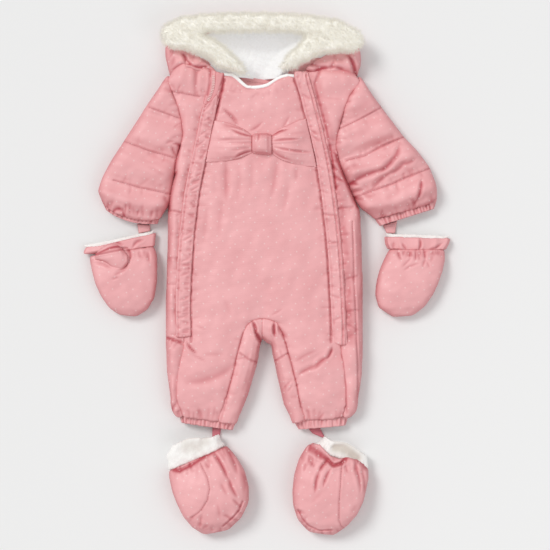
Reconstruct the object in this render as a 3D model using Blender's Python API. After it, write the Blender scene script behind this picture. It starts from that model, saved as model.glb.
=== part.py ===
"""Padded baby snowsuit laid flat on its back, with a fur-edged hood, a bow, and mittens and
booties tabbed to its cuffs.

Tables are in millimetres: X runs across the garment (the wearer's left is +X), Y runs up it
towards the hood, Z is the height over the surface it lies on. Every piece is a wall of its own
with a 0.3 mm gap at each seam. The finished meshes are in metres.
"""
import math

import bmesh
import bpy
from mathutils import Vector
from mathutils.bvhtree import BVHTree

MM = 0.001

# ---- driving sizes, mm -------------------------------------------------------------------
GAP = 0.3              # gap left at every seam
SEAM_SHARE = 0.6       # share of the gap that each piece gives at a seam line that bends
WALL = 4.0             # padded wall where it is sewn down
BACK_WALL = 5.0        # padded back wall that the suit lies on
MIDLINE = -7.0         # X of the centre front
SIDE_SEAM_Z = 14.0     # height at which front and back meet at the sides
SIDE_ROUND = 16.0      # how far in from the side the cloth turns over
FRONT_RISE = 14.0      # sewn-down front above the side seam
PANEL_PUFF = 6.0       # padding of the plain panels above the sewn-down wall
CHANNEL_PUFF = 6.5     # padding of one quilted channel
PLACKET_HALF = 10.0    # half the width of a zip placket
PLACKET_CROWN = (2.0, 3.4, 3.8, 3.4, 2.0)   # thickness across a placket
TAPE_CROWN = (1.6, 1.6, 2.4, 1.6, 1.6)      # thickness across the zip tape and its teeth
TAPE_END_Y = 250.0     # the right placket is folded open above this
TORSO_TOP_Y = 292.0
PLACKET_END_Y = -95.0
NECK_TOP_Y = 290.0     # rows up here follow the neck seam's slant in full
FUR_LOW = 24.6         # underside of the fur trim
LINING_WALL = 2.2
BAND_WALL = 2.6        # gathered cuff band
GATHER_DEPTH = 1.3     # how far the gathers stand out of a band

# ---- colours (linear) --------------------------------------------------------------------
PINK = (0.76, 0.33, 0.35, 1.0)
PINK_DEEP = (0.66, 0.26, 0.29, 1.0)
CREAM = (0.90, 0.87, 0.79, 1.0)
WHITE = (0.86, 0.85, 0.83, 1.0)

# ---- body tables -------------------------------------------------------------------------
# y, X of the right side, right zip seam, left zip seam, left side
TORSO = (
    (284.0, -143.0, -73.5, 51.0, 133.0),
    (278.0, -142.0, -75.0, 54.0, 133.0),
    (261.0, -136.0, -79.0, 59.0, 120.0),
    (250.0, -130.8, -81.6, 61.6, 114.8),
    (244.0, -128.0, -83.0, 63.0, 112.0),
    (225.0, -123.0, -87.0, 68.0, 106.0),
    (204.0, -121.0, -91.0, 73.0, 101.0),
    (186.0, -125.0, -95.0, 77.0, 100.0),
    (168.0, -131.0, -99.0, 81.0, 103.0),
    (146.0, -133.0, -104.0, 85.0, 112.0),
    (119.0, -139.0, -109.0, 89.0, 123.0),
    (96.0, -142.0, -112.0, 92.0, 134.0),
    (62.0, -143.0, -116.0, 96.0, 136.0),
    (28.0, -144.0, -118.5, 99.0, 137.0),
    (-5.0, -145.0, -120.5, 101.0, 138.0),
    (-35.0, -146.0, -121.5, 102.5, 138.0),
    (-52.0, -146.0, -121.5, 103.5, 138.0),
)
# y at the side, X of side, X of zip seam, X and Y of the inner-leg seam, X and Y of the leg edge
LEG_RIGHT = (
    (-67.0, -146.0, -121.0, -7.0, -62.0, -7.0, -90.0),
    (-78.0, -146.0, -120.5, -19.0, -64.0, -9.0, -96.0),
    (-88.0, -146.0, -120.5, -28.0, -71.0, -11.0, -103.0),
    (-99.0, -146.0, -121.0, -33.0, -80.0, -12.0, -110.0),
    (-110.0, -145.5, -123.0, -37.0, -93.0, -13.0, -119.0),
    (-125.0, -145.0, -127.0, -41.0, -110.0, -15.0, -129.0),
    (-142.0, -144.0, -130.0, -46.0, -133.0, -21.0, -149.0),
    (-162.0, -141.0, -132.0, -54.0, -160.0, -28.0, -173.0),
    (-183.0, -138.0, -131.0, -62.0, -184.0, -36.0, -193.0),
    (-201.0, -129.0, -123.0, -69.0, -208.0, -44.0, -211.0),
)
LEG_LEFT = (
    (-67.0, 138.0, 104.0, -7.0, -62.0, -7.0, -90.0),
    (-78.0, 138.0, 105.0, 4.0, -63.0, 0.0, -97.0),
    (-88.0, 138.0, 106.0, 14.0, -68.0, 7.0, -100.0),
    (-99.0, 138.0, 107.0, 20.0, -78.0, 8.0, -107.0),
    (-110.0, 138.0, 108.0, 25.0, -92.0, 9.0, -116.0),
    (-125.0, 137.5, 111.0, 30.0, -110.0, 12.0, -128.0),
    (-142.0, 137.0, 113.0, 36.0, -132.0, 15.0, -144.0),
    (-162.0, 134.0, 115.0, 42.0, -158.0, 20.0, -165.0),
    (-183.0, 130.0, 115.0, 47.0, -181.0, 25.0, -187.0),
    (-203.0, 119.0, 111.0, 53.0, -206.0, 37.0, -209.0),
)
# rows close to the shoulder seam: how far below it, and how much of the height they reach
SHOULDER_ROWS = ((0.0, 0.0), (3.5, 0.7))
# y, share of the front's full rise
BODY_RISE = ((292.0, 0.9), (200.0, 1.0), (0.0, 1.06), (-60.0, 1.0), (-150.0, 1.1), (-185.0, 0.85),
             (-205.0, 0.55))
# X and Y of the front neckline, wearer's right to left
NECKLINE = ((-62.0, 289.5), (-55.0, 290.5), (-48.0, 287.5), (-41.0, 283.0), (-28.0, 274.5),
            (-13.0, 273.0), (4.0, 277.0), (19.0, 285.0), (29.0, 288.5), (40.0, 287.0))
NECK_BLEND_Y = 215.0   # the neckline's dip has faded out of the panel rows here
QUILT_Y = (292.0, 261.0, 186.0, 96.0, -5.0, -88.0, -142.0, -201.0)   # side panels' quilt lines

# largest creases: X, Y of both ends, depth, half-width
CREASES = (
    (-112.0, -154.0, -49.0, -129.0, 3.0, 7.0),
    (93.0, -106.0, 47.0, -142.0, 2.5, 7.0),
    (-59.0, 158.0, -59.0, 110.0, 2.2, 6.0),
    (13.0, 160.0, 6.0, 118.0, 2.2, 6.0),
    (-65.0, 240.0, -42.0, 216.0, 2.0, 6.0),
    (-101.0, 300.0, -103.0, 262.0, 2.5, 6.0),
    (62.0, 292.0, 72.0, 262.0, 2.5, 7.0),
    (120.0, 126.0, 191.0, 185.0, 3.0, 7.0),
    (129.0, 125.0, 216.0, 172.0, 2.5, 7.0),
    (-137.0, 190.0, -160.0, 176.0, 2.0, 6.0),
)

# ---- sleeve tables -----------------------------------------------------------------------
# X, Y at the outer edge; X, Y at the armhole or inner edge; share of the rise; 1 where the inner
# edge is sewn shut below the underarm; sag of the row towards the cuff
SLEEVE_RIGHT = (
    (-145.5, 287.0, -143.0, 284.0, 0.35, 0.0, 0.0),
    (-150.0, 281.0, -142.0, 278.0, 0.8, 0.0, 0.0),
    (-162.0, 264.0, -136.0, 261.0, 1.0, 0.0, 0.0),
    (-172.0, 250.0, -128.0, 244.0, 1.0, 0.0, 1.0),
    (-180.0, 238.0, -123.0, 225.0, 0.8, 0.0, 2.0),
    (-190.0, 222.0, -121.0, 204.0, 1.0, 0.0, 2.0),
    (-199.0, 208.0, -125.0, 186.0, 1.05, 0.0, 2.0),
    (-209.0, 193.0, -131.0, 168.0, 0.85, 0.0, 2.0),
    (-225.0, 168.0, -135.5, 146.0, 1.15, 1.0, 3.0),
    (-239.0, 142.0, -141.0, 119.0, 0.85, 1.0, 4.0),
    (-245.0, 124.0, -144.5, 103.0, 1.1, 1.0, 7.0),
    (-237.5, 105.5, -157.0, 86.0, 0.5, 1.0, 8.0),
)
SLEEVE_LEFT = (
    (136.5, 286.0, 133.0, 284.0, 0.35, 0.0, 0.0),
    (141.0, 279.0, 133.0, 278.0, 0.8, 0.0, 0.0),
    (153.0, 261.0, 120.0, 261.0, 1.0, 0.0, 0.0),
    (164.0, 247.0, 112.0, 244.0, 1.0, 0.0, 1.0),
    (172.0, 236.0, 106.0, 225.0, 0.8, 0.0, 2.0),
    (182.0, 223.0, 101.0, 204.0, 1.0, 0.0, 2.0),
    (190.0, 212.0, 100.0, 186.0, 1.05, 0.0, 2.0),
    (198.0, 202.0, 103.0, 168.0, 0.85, 0.0, 2.0),
    (218.0, 181.0, 114.5, 146.0, 1.15, 1.0, 3.0),
    (236.0, 157.0, 125.5, 119.0, 0.85, 1.0, 4.0),
    (245.0, 133.0, 137.0, 99.0, 1.1, 1.0, 5.0),
    (247.0, 114.0, 157.0, 84.0, 0.6, 1.0, 2.0),
)
SLEEVE_QUILTS = (0, 4, 7, 9, 11)   # sleeve rows that carry a quilt line or an end seam

# ---- hood tables -------------------------------------------------------------------------
# X, Y on the hood's outline; Y on its centre line; width of the front flap and of the stretch of it
# that the fur leaves clear; share of the rise
HOOD_RIGHT = (
    (-138.0, 294.0, 283.5, 68.0, 64.0, 0.0),
    (-141.0, 298.0, 286.5, 70.0, 60.0, 0.75),
    (-144.0, 307.0, 293.0, 68.0, 50.0, 1.0),
    (-147.0, 319.0, 302.0, 58.0, 38.0, 1.0),
    (-147.0, 334.0, 314.0, 38.0, 12.0, 1.0),
    (-143.0, 350.0, 327.0, 30.0, 1.0, 0.9),
    (-120.0, 361.0, 342.0, 27.0, 1.0, 0.9),
    (-75.0, 368.0, 353.0, 24.0, 1.0, 0.8),
    (-39.0, 371.0, 361.0, 14.0, 1.0, 0.7),
    (-9.0, 372.0, 368.0, 1.5, 0.5, 0.2),
)
HOOD_LEFT = (
    (129.0, 291.0, 283.5, 66.0, 62.0, 0.06),
    (131.0, 299.0, 287.5, 66.0, 58.0, 0.75),
    (135.0, 305.0, 293.0, 68.0, 52.0, 1.0),
    (136.0, 316.0, 302.0, 62.0, 42.0, 1.0),
    (134.0, 330.0, 314.0, 42.0, 12.0, 1.0),
    (128.0, 345.0, 327.0, 30.0, 1.0, 0.9),
    (100.0, 359.0, 342.0, 27.0, 1.0, 0.9),
    (62.0, 367.0, 353.0, 24.0, 1.0, 0.8),
    (25.0, 370.0, 361.0, 14.0, 1.0, 0.7),
    (-5.0, 372.0, 368.0, 1.5, 0.5, 0.2),
)
# X, Y on the outer side of the fur; X, Y on its inner side; height over its underside
FUR = (
    (-66.0, 300.0, -26.0, 290.0, 16.0),
    (-78.0, 299.0, -33.0, 302.0, 24.0),
    (-97.0, 312.0, -49.0, 320.0, 27.0),
    (-120.0, 325.0, -67.0, 335.0, 28.0),
    (-145.0, 330.0, -83.0, 344.0, 28.0),
    (-155.0, 345.0, -91.0, 348.0, 27.0),
    (-148.0, 362.0, -93.0, 350.0, 26.0),
    (-123.0, 373.0, -85.0, 351.5, 25.0),
    (-83.0, 377.0, -61.0, 352.0, 25.0),
    (-45.0, 378.5, -33.0, 352.5, 25.0),
    (-7.0, 379.0, -7.0, 353.0, 25.0),
    (30.0, 378.0, 18.0, 352.5, 25.0),
    (64.0, 375.0, 36.0, 352.0, 25.0),
    (106.0, 368.0, 51.0, 349.0, 26.0),
    (135.0, 352.0, 56.0, 346.0, 27.0),
    (144.0, 335.0, 52.0, 340.0, 28.0),
    (128.0, 324.0, 45.0, 333.0, 27.0),
    (100.0, 324.0, 37.0, 325.0, 26.0),
    (76.0, 320.0, 29.0, 317.0, 24.0),
    (58.0, 310.0, 22.0, 306.0, 21.0),
    (46.0, 299.0, 17.0, 298.0, 14.0),
)

# ---- bow tables --------------------------------------------------------------------------
# share of the loop's length from its sewn end to the knot, Y of top and bottom, thickness
BOW_RIGHT = ((0.0, 225.0, 164.0, 3.0), (0.22, 223.5, 164.0, 8.0), (0.5, 219.0, 166.0, 12.0),
             (0.8, 212.0, 172.0, 11.0), (1.0, 203.0, 177.0, 7.0))
BOW_LEFT = ((0.0, 228.0, 157.0, 3.0), (0.22, 225.0, 158.0, 8.0), (0.5, 219.0, 161.0, 12.0),
            (0.8, 212.0, 168.0, 11.0), (1.0, 203.0, 176.0, 7.0))
BOW_KNOT_RIGHT_X = -21.5
BOW_KNOT_LEFT_X = 7.0
BOW_PLEATS = 3
BOW_PLEAT_DEPTH = 1.6
BOW_SEAT = 0.6         # how far the bow's underside lies above the panel

# ---- cuff, mitten and bootie tables ------------------------------------------------------
# each row: X, Y of one edge; X, Y of the other; height; sag of the row, where it has any
CUFFS = {
    "sleeve_cuff_right": ((-237.6, 104.8, -157.1, 85.3, 17.0, 8.0), (-233.0, 95.0, -160.0, 76.0, 17.0, 7.0)),
    "sleeve_cuff_left": ((246.9, 113.2, 157.4, 83.3, 17.0, 2.0), (242.0, 97.5, 165.0, 73.0, 18.0, 0.0)),
    "ankle_cuff_right": ((-127.0, -201.9, -46.0, -211.4, 19.0), (-124.0, -213.5, -51.0, -224.0, 18.0)),
    "ankle_cuff_left": ((117.5, -203.8, 39.0, -209.5, 19.0), (113.0, -217.5, 47.0, -223.0, 18.0)),
}
CUFF_GATHERS = {"sleeve_cuff_right": 12, "sleeve_cuff_left": 16, "ankle_cuff_right": 15,
                "ankle_cuff_left": 14}
TABS = {
    "mitten_tab_right": ((-189.5, 75.9, -170.0, 74.3, 5.0), (-187.5, 61.8, -170.5, 65.6, 5.0)),
    "mitten_tab_left": ((169.0, 73.7, 190.0, 80.4, 5.0), (174.0, 62.5, 187.0, 62.0, 5.0)),
    "bootie_tab_right": ((-80.0, -220.4, -67.0, -222.3, 5.0), (-80.0, -237.5, -68.5, -234.1, 5.0)),
    "bootie_tab_left": ((60.0, -222.5, 77.0, -221.0, 5.0), (66.0, -229.4, 86.0, -237.6, 5.0)),
}
MITTEN_RIGHT = (
    (-257.5, 28.5, -164.5, 42.5, 19.0),
    (-256.0, 19.0, -161.0, 30.0, 25.0),
    (-253.0, 6.0, -160.5, 14.0, 28.0),
    (-248.0, -12.0, -161.0, -10.0, 29.0),
    (-240.0, -29.0, -165.0, -32.0, 27.0),
    (-229.0, -45.0, -175.0, -48.0, 23.0),
    (-215.0, -55.0, -190.0, -57.5, 15.0),
)
MITTEN_LEFT = (
    (257.5, 37.5, 178.5, 38.5, 19.0),
    (258.0, 24.0, 172.0, 26.0, 25.0),
    (254.0, 8.0, 165.0, 10.0, 28.0),
    (248.0, -10.0, 160.0, -8.0, 29.0),
    (240.0, -27.0, 158.0, -27.0, 28.0),
    (228.0, -44.0, 163.0, -45.0, 24.0),
    (212.0, -56.0, 183.0, -58.0, 15.0),
)
MITTEN_BANDS = {
    "mitten_band_right": ((-257.5, 40.0, -163.0, 62.0, 16.0), (-257.5, 29.2, -165.0, 43.2, 17.0)),
    "mitten_band_left": ((172.5, 57.0, 264.5, 53.5, 18.0), (178.5, 39.3, 258.0, 38.2, 18.0)),
}
MITTEN_BAND_GATHERS = {"mitten_band_right": 4, "mitten_band_left": 12}
# the fleece lining's edge, where it stands out of the mouth
MITTEN_LINING_EDGES = {"right": (-264.0, 44.0, -163.5, 66.5, 12.0), "left": (172.0, 62.0, 266.5, 58.2, 13.0)}
# X, Y along the folded-over thumb's middle, its half-width and its thickness
THUMB_RIGHT = ((-249.0, 22.0, 9.0, 3.0), (-240.0, 25.0, 14.0, 7.0), (-224.0, 27.0, 15.5, 8.5),
               (-210.0, 25.5, 13.0, 7.5), (-201.5, 24.0, 6.0, 3.0))
BOOTIE_RIGHT = (
    (-142.0, -283.0, -59.0, -247.0, 26.0),
    (-140.0, -295.0, -45.0, -263.0, 36.0),
    (-136.0, -312.0, -33.0, -283.0, 41.0),
    (-129.0, -330.0, -27.5, -306.0, 42.0),
    (-120.0, -348.0, -28.0, -328.0, 39.0),
    (-108.0, -363.0, -38.0, -349.0, 32.0),
    (-92.0, -374.0, -56.0, -367.0, 18.0),
)
BOOTIE_LEFT = (
    (57.0, -250.0, 146.0, -280.0, 28.0),
    (47.0, -266.0, 146.0, -294.0, 36.0),
    (40.5, -288.0, 142.5, -309.0, 41.0),
    (38.0, -310.0, 138.5, -326.0, 42.0),
    (39.0, -332.0, 130.0, -344.0, 39.0),
    (46.0, -353.0, 116.0, -361.0, 32.0),
    (61.0, -370.0, 97.0, -375.0, 18.0),
)
BOOTIE_COLLARS = {
    "bootie_collar_right": ((-146.5, -258.0, -68.0, -234.5, 30.0), (-142.2, -282.3, -59.4, -246.4, 26.0)),
    "bootie_collar_left": ((76.0, -234.0, 144.0, -262.0, 28.0), (57.2, -249.3, 146.2, -279.3, 28.0)),
}
SOLE_THICK = 3.0

# ---- stations and small sizes ------------------------------------------------------------
SIDES = ("right", "left")
TURN_SHARES = (0.12, 0.42, 1.0)         # stations over a rounded edge, in shares of its radius
BACK_SHARES = (0.33, 0.66)              # stations over a flat back
SIDE_SHARES = (0.0, 0.12, 0.3, 0.6, 1.0)        # stations across a side panel
FRONT_SHARES = (0.2, 0.4, 0.6, 0.8, 1.0)        # stations across half the front panel
INNER_LEG_SHARES = (0.0, 0.3, 0.58, 0.82, 1.0)  # stations across an inner-leg panel
HOOD_SHARES = (0.35, 0.7, 1.0)          # stations across the hood's back and its front flap
CROTCH_ROW_Y = -67.5   # the two legs part below this
CROTCH_BLEND_Y = -20.0  # the front's swell starts to part into two legs here
UNDERARM_Y = 160.0     # the sides are sewn shut below this
LEG_ROUND = 24.0       # how far in from the inner leg the cloth turns over
CENTRE_DIP = 8.5       # the neck seam lies this much lower at the centre than at the sides
ARMHOLE_FLAT = 12.0    # the sleeve is sewn flat this far from the armhole
THINNEST = 1.6         # a crease leaves at least this much wall
HOOD_ROUND = 14.0      # how far in from its outline the hood turns over
HOOD_WALL = 3.5
HOOD_RISE = 9.0        # sewn-down flap above the side seam
HOOD_PUFF = 6.0        # padding of the flap above that
# y, X of the right edge, X of the left edge
LINING_ROWS = ((285.0, -100.0, 92.0), (300.0, -124.0, 112.0), (320.0, -127.0, 115.0),
               (337.0, -115.0, 104.0), (350.0, -80.0, 64.0), (357.0, -40.0, 26.0))
LINING_COLUMNS = 8
LINING_SWELL = 1.5
FACING_X = (-38.0, 26.0)
FACING_WIDTH = 12.0
FACING_THICK = (3.0, 3.6, 2.0)   # from the neck seam down to its free edge
FACING_STEPS = 6
FUR_SIDES = 12
BOW_STEPS = 8
CUSHION_REACH = 5.0    # a piece that lies on cloth clears its highest point within this reach
BINDING_SIDES = 8
BINDING_SEAT = 0.7     # the binding's clearance, more than the gap because the edge bends
BINDING_RADIUS = 1.6
STRIP_SIDES = 12
MITTEN_SIDES = 18
BOOTIE_SIDES = 18
TORSO_COLUMNS = {"right": (1, 2), "left": (4, 3)}   # columns of TORSO with each side's X values
TOP_X = {"right": (-138.0, -72.5), "left": (129.0, 50.0)}   # X of side and zip seam at the top
LEG_TABLES = {"right": LEG_RIGHT, "left": LEG_LEFT}
HOOD_TABLES = {"right": HOOD_RIGHT, "left": HOOD_LEFT}
SLEEVE_TABLES = {"right": SLEEVE_RIGHT, "left": SLEEVE_LEFT}


# ---- small helpers -----------------------------------------------------------------------
def quarter(distance, radius):
    """Height share of a rounded edge: 0 at the edge, 1 from one radius in."""
    if distance >= radius:
        return 1.0
    if distance <= 0.0:
        return 0.0
    return math.sqrt(1.0 - (1.0 - distance / radius) ** 2)


def table_value(table, at, column):
    """A table's column read at a value of its first column, straight between rows."""
    rows = sorted(table)
    if at <= rows[0][0]:
        return rows[0][column]
    for low, high in zip(rows, rows[1:]):
        if at <= high[0]:
            share = (at - low[0]) / (high[0] - low[0])
            return low[column] + share * (high[column] - low[column])
    return rows[-1][column]


def mix(a, b, share):
    return tuple(p + (q - p) * share for p, q in zip(a, b))


def plump(share, power=2.6):
    """Padding between two sewn lines: 0 at both, 1 in the middle."""
    return 1.0 - abs(2.0 * share - 1.0) ** power


def crease_depth(x, y):
    """Depth of the folds pressed into the cloth at a place."""
    depth = 0.0
    for x0, y0, x1, y1, deep, wide in CREASES:
        dx, dy = x1 - x0, y1 - y0
        along = ((x - x0) * dx + (y - y0) * dy) / (dx * dx + dy * dy)
        along = min(1.0, max(0.0, along))
        off = math.hypot(x - x0 - along * dx, y - y0 - along * dy)
        depth += deep * math.exp(-(off / wide) ** 2)
    return depth


def catmull(rows, steps):
    """A table's rows with smooth ones added between them."""
    last = len(rows) - 1
    result = []
    for index in range(last):
        before = rows[max(index - 1, 0)]
        start = rows[index]
        end = rows[index + 1]
        after = rows[min(index + 2, last)]
        for step in range(steps):
            t = step / steps
            row = []
            for p0, p1, p2, p3 in zip(before, start, end, after):
                row.append(0.5 * (2 * p1 + (p2 - p0) * t + (2 * p0 - 5 * p1 + 4 * p2 - p3) * t * t
                                  + (3 * p1 - p0 - 3 * p2 + p3) * t ** 3))
            result.append(tuple(row))
    result.append(tuple(rows[last]))
    return result


# ---- mesh makers -------------------------------------------------------------------------
def new_object(name, points, faces, material):
    mesh = bpy.data.meshes.new(name)
    mesh.from_pydata([tuple(c * MM for c in point) for point in points], [], faces)
    closed = bmesh.new()
    closed.from_mesh(mesh)
    bmesh.ops.recalc_face_normals(closed, faces=closed.faces)
    closed.to_mesh(mesh)
    closed.free()
    mesh.materials.append(material)
    mesh.shade_smooth()
    mesh.set_sharp_from_angle(angle=math.radians(50.0))
    mesh.update()
    piece = bpy.data.objects.new(name, mesh)
    bpy.context.scene.collection.children["baby_snowsuit"].objects.link(piece)
    return piece


def sheet_wall(name, outer, inner, material):
    """A wall between two grids of points: outer skin, inner skin and the four edges."""
    rows, columns = len(outer), len(outer[0])
    points = [point for grid in (outer, inner) for row in grid for point in row]
    faces = []

    def add(*corners):
        faces.append(tuple((layer * rows + r) * columns + c for layer, r, c in corners))

    for r in range(rows - 1):
        for c in range(columns - 1):
            add((0, r, c), (0, r, c + 1), (0, r + 1, c + 1), (0, r + 1, c))
            add((1, r, c), (1, r + 1, c), (1, r + 1, c + 1), (1, r, c + 1))
    end = rows - 1
    for c in range(columns - 1):
        add((0, 0, c), (1, 0, c), (1, 0, c + 1), (0, 0, c + 1))
        add((0, end, c), (0, end, c + 1), (1, end, c + 1), (1, end, c))
    edge = columns - 1
    for r in range(rows - 1):
        add((0, r, 0), (0, r + 1, 0), (1, r + 1, 0), (1, r, 0))
        add((0, r, edge), (1, r, edge), (1, r + 1, edge), (0, r + 1, edge))
    return new_object(name, points, faces, material)


def ring(left, right, low, high, count, inset=0.0, gathers=0, sag=0.0, square=2.6):
    """A flattened ring of points round a row from one edge to the other, flat underneath."""
    middle = [(a + b) / 2.0 for a, b in zip(left, right)]
    reach = [(b - a) / 2.0 for a, b in zip(left, right)]
    length = math.hypot(*reach)
    shrink = (length - inset) / length
    down = (-reach[1] / length, reach[0] / length)
    if down[1] > 0.0:
        down = (-down[0], -down[1])
    half_height = (high - low) / 2.0 - inset
    middle_z = (high + low) / 2.0
    points = []
    for step in range(count):
        angle = 2.0 * math.pi * step / count
        across = math.copysign(abs(math.cos(angle)) ** (2.0 / square), math.cos(angle))
        up = math.copysign(abs(math.sin(angle)) ** (2.0 / square), math.sin(angle))
        wave = 0.0
        if gathers:
            wave = GATHER_DEPTH * math.cos(gathers * 2.0 * math.pi * step / count)
        z = middle_z + (half_height + wave) * up
        floor = low + inset
        if up < 0.0:
            z = max(floor, middle_z + half_height * up * 1.12)
        spread = across * shrink * (1.0 + wave / length)
        bend = sag * (1.0 - spread * spread)
        points.append((middle[0] + reach[0] * spread + down[0] * bend,
                       middle[1] + reach[1] * spread + down[1] * bend, z))
    return points


def tube_wall(name, rows, wall, count, material, closed_end=False, gathers=0, low=0.0, insets=None):
    """A hollow tube through rows of (x, y, x, y, height, sag), open at both ends or shut at the last."""
    outer = []
    inner = []
    insets = insets or [0.0] * len(rows)
    for row, inset in zip(rows, insets):
        left, right, high = row[0:2], row[2:4], row[4]
        sag = row[5] if len(row) > 5 else 0.0
        outer.append(ring(left, right, low, low + high, count, inset, gathers, sag))
        inner.append(ring(left, right, low, low + high, count, inset + wall, 0, sag))
    if closed_end:
        inner[-1] = None
    inner = [loop for loop in inner if loop]
    points = [p for loop in outer for p in loop] + [p for loop in inner for p in loop]
    inner_start = len(outer) * count
    faces = []
    for r in range(len(outer) - 1):
        for k in range(count):
            n = (k + 1) % count
            faces.append((r * count + k, (r + 1) * count + k, (r + 1) * count + n, r * count + n))
    for r in range(len(inner) - 1):
        base = inner_start + r * count
        for k in range(count):
            n = (k + 1) % count
            faces.append((base + k, base + n, base + count + n, base + count + k))
    for k in range(count):
        n = (k + 1) % count
        faces.append((k, n, inner_start + n, inner_start + k))
    last_outer = (len(outer) - 1) * count
    last_inner = inner_start + (len(inner) - 1) * count
    if closed_end:
        faces.append(tuple(last_outer + k for k in range(count)))
        faces.append(tuple(last_inner + k for k in reversed(range(count))))
    else:
        for k in range(count):
            n = (k + 1) % count
            faces.append((last_outer + k, last_inner + k, last_inner + n, last_outer + n))
    return new_object(name, points, faces, material)


def solid_tube(name, loops, material):
    """A solid through loops of points, shut at both ends."""
    count = len(loops[0])
    points = [p for loop in loops for p in loop]
    faces = []
    for r in range(len(loops) - 1):
        for k in range(count):
            n = (k + 1) % count
            faces.append((r * count + k, (r + 1) * count + k, (r + 1) * count + n, r * count + n))
    last = (len(loops) - 1) * count
    faces.append(tuple(reversed(range(count))))
    faces.append(tuple(last + k for k in range(count)))
    return new_object(name, points, faces, material)


# ---- the body's shape --------------------------------------------------------------------
SIDES = ("right", "left")


def neck_seam(side, x):
    """Y of the seam between the body and the hood."""
    outer_x, outer_y, centre_y = HOOD_TABLES[side][0][0:3]
    return centre_y + (outer_y - centre_y) * (x - MIDLINE) / (outer_x - MIDLINE)


def neck_fade(y):
    return min(1.0, max(0.0, (y - NECK_BLEND_Y) / (NECK_TOP_Y - NECK_BLEND_Y)))


def body_rows(side):
    """The half body's rows from the shoulder down: side, seam, inner seam and leg edge points."""
    rows = []
    side_x, seam_x = TOP_X[side]
    for drop, share in SHOULDER_ROWS:
        rows.append({
            "y": TORSO_TOP_Y - drop, "share": share, "leg": None,
            "side": (side_x, neck_seam(side, side_x) - GAP - drop),
            "seam": (seam_x, neck_seam(side, seam_x) - GAP - drop),
            "inner": (MIDLINE, neck_seam(side, MIDLINE) - GAP - drop),
        })
    first, second = TORSO_COLUMNS[side]
    slope = neck_seam(side, side_x)
    for record in TORSO:
        y = record[0]
        rows.append({
            "y": y, "share": 1.0, "leg": None,
            "side": (record[first], y),
            "seam": (record[second], y - (slope - neck_seam(side, record[second])) * neck_fade(y)),
            "inner": (MIDLINE, y - CENTRE_DIP * neck_fade(y)),
        })
    for y, x, seam, inner_x, inner_y, leg_x, leg_y in LEG_TABLES[side]:
        rows.append({"y": y, "share": 1.0, "side": (x, y), "seam": (seam, y),
                     "inner": (inner_x, inner_y), "leg": (leg_x, leg_y)})
    return rows


def span(a, b):
    return math.hypot(b[0] - a[0], b[1] - a[1])


def closed_side(row):
    """1 where front and back are sewn at the side, 0 along the armhole."""
    return 1.0 if row["y"] < UNDERARM_Y else 0.0


def quilt_share(y):
    for high, low in zip(QUILT_Y, QUILT_Y[1:]):
        if y >= low:
            return plump(min(1.0, (high - y) / (high - low)), 2.2)
    return 0.0


def placket_margin(row, width):
    if row["y"] < PLACKET_END_Y:
        return min(2.0, 0.1 * width)
    return min(PLACKET_HALF, 0.45 * width)


def front_point(row, panel, distance, puffed=True):
    """Outer and inner point of the front at a distance along one panel of a row."""
    side_width = span(row["side"], row["seam"])
    front_width = span(row["seam"], row["inner"])
    leg_width = span(row["inner"], row["leg"]) if row["leg"] else 0.0
    starts = {"side": ("side", "seam", 0.0), "front": ("seam", "inner", side_width),
              "leg": ("inner", "leg", side_width + front_width)}
    begin, end, base = starts[panel]
    a, b = row[begin], row[end]
    width = span(a, b)
    place = mix(a, b, distance / width)
    heading = ((b[0] - a[0]) / width, (b[1] - a[1]) / width)
    along = base + distance
    left_over = side_width + front_width + leg_width - along
    closed = closed_side(row)
    rounding = 1.0 - closed * (1.0 - quarter(along, SIDE_ROUND))
    if row["leg"]:
        rounding *= quarter(left_over, LEG_ROUND)
    shoulder = 1.0
    if panel == "side":
        shoulder = 1.0 - (1.0 - row["share"]) * (1.0 - distance / width) ** 0.7
    rise = FRONT_RISE * table_value(BODY_RISE, place[1], 1)
    seam_z = SIDE_SEAM_Z + GAP / 2.0
    puff = 0.0
    if puffed:
        margin = placket_margin(row, width)
        if panel == "side":
            share = min(1.0, distance / (width - margin))
            puff = CHANNEL_PUFF * plump(share, 2.2) * quilt_share(row["y"])
        elif panel == "front":
            share = max(0.0, (distance - margin) / (width - margin))
            open_share = 1.0 - (1.0 - share) ** 2.6
            legs = min(1.0, max(0.0, (CROTCH_BLEND_Y - row["y"]) / 40.0))
            puff = PANEL_PUFF * ((1.0 - legs) * open_share + legs * plump(share))
            puff *= min(1.0, 0.3 + (292.0 - row["y"]) / 30.0)
            puff *= min(1.0, max(0.1, (row["y"] + 205.0) / 30.0))
        else:
            puff = 0.5 * PANEL_PUFF * plump(distance / width)
        puff = max(puff - crease_depth(*place), THINNEST - WALL)
    factor = rounding * shoulder
    outer = (place[0], place[1], seam_z + rise * factor + puff * min(1.0, factor * 1.3))
    shift = WALL * closed * (1.0 - min(1.0, along / (2.0 * SIDE_ROUND)))
    moved = (heading[0] * shift, heading[1] * shift - WALL * (1.0 - shoulder))
    if row["leg"]:
        shift = WALL * (1.0 - min(1.0, left_over / (2.0 * LEG_ROUND)))
        moved = (moved[0] + (row["inner"][0] - row["leg"][0]) / leg_width * shift,
                 moved[1] + (row["inner"][1] - row["leg"][1]) / leg_width * shift)
    inner = (place[0] + moved[0], place[1] + moved[1], seam_z + max(0.0, rise - WALL) * factor)
    return outer, inner


def push(point, heading, amount):
    return (point[0] + heading[0] * amount, point[1] + heading[1] * amount, point[2])


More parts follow.
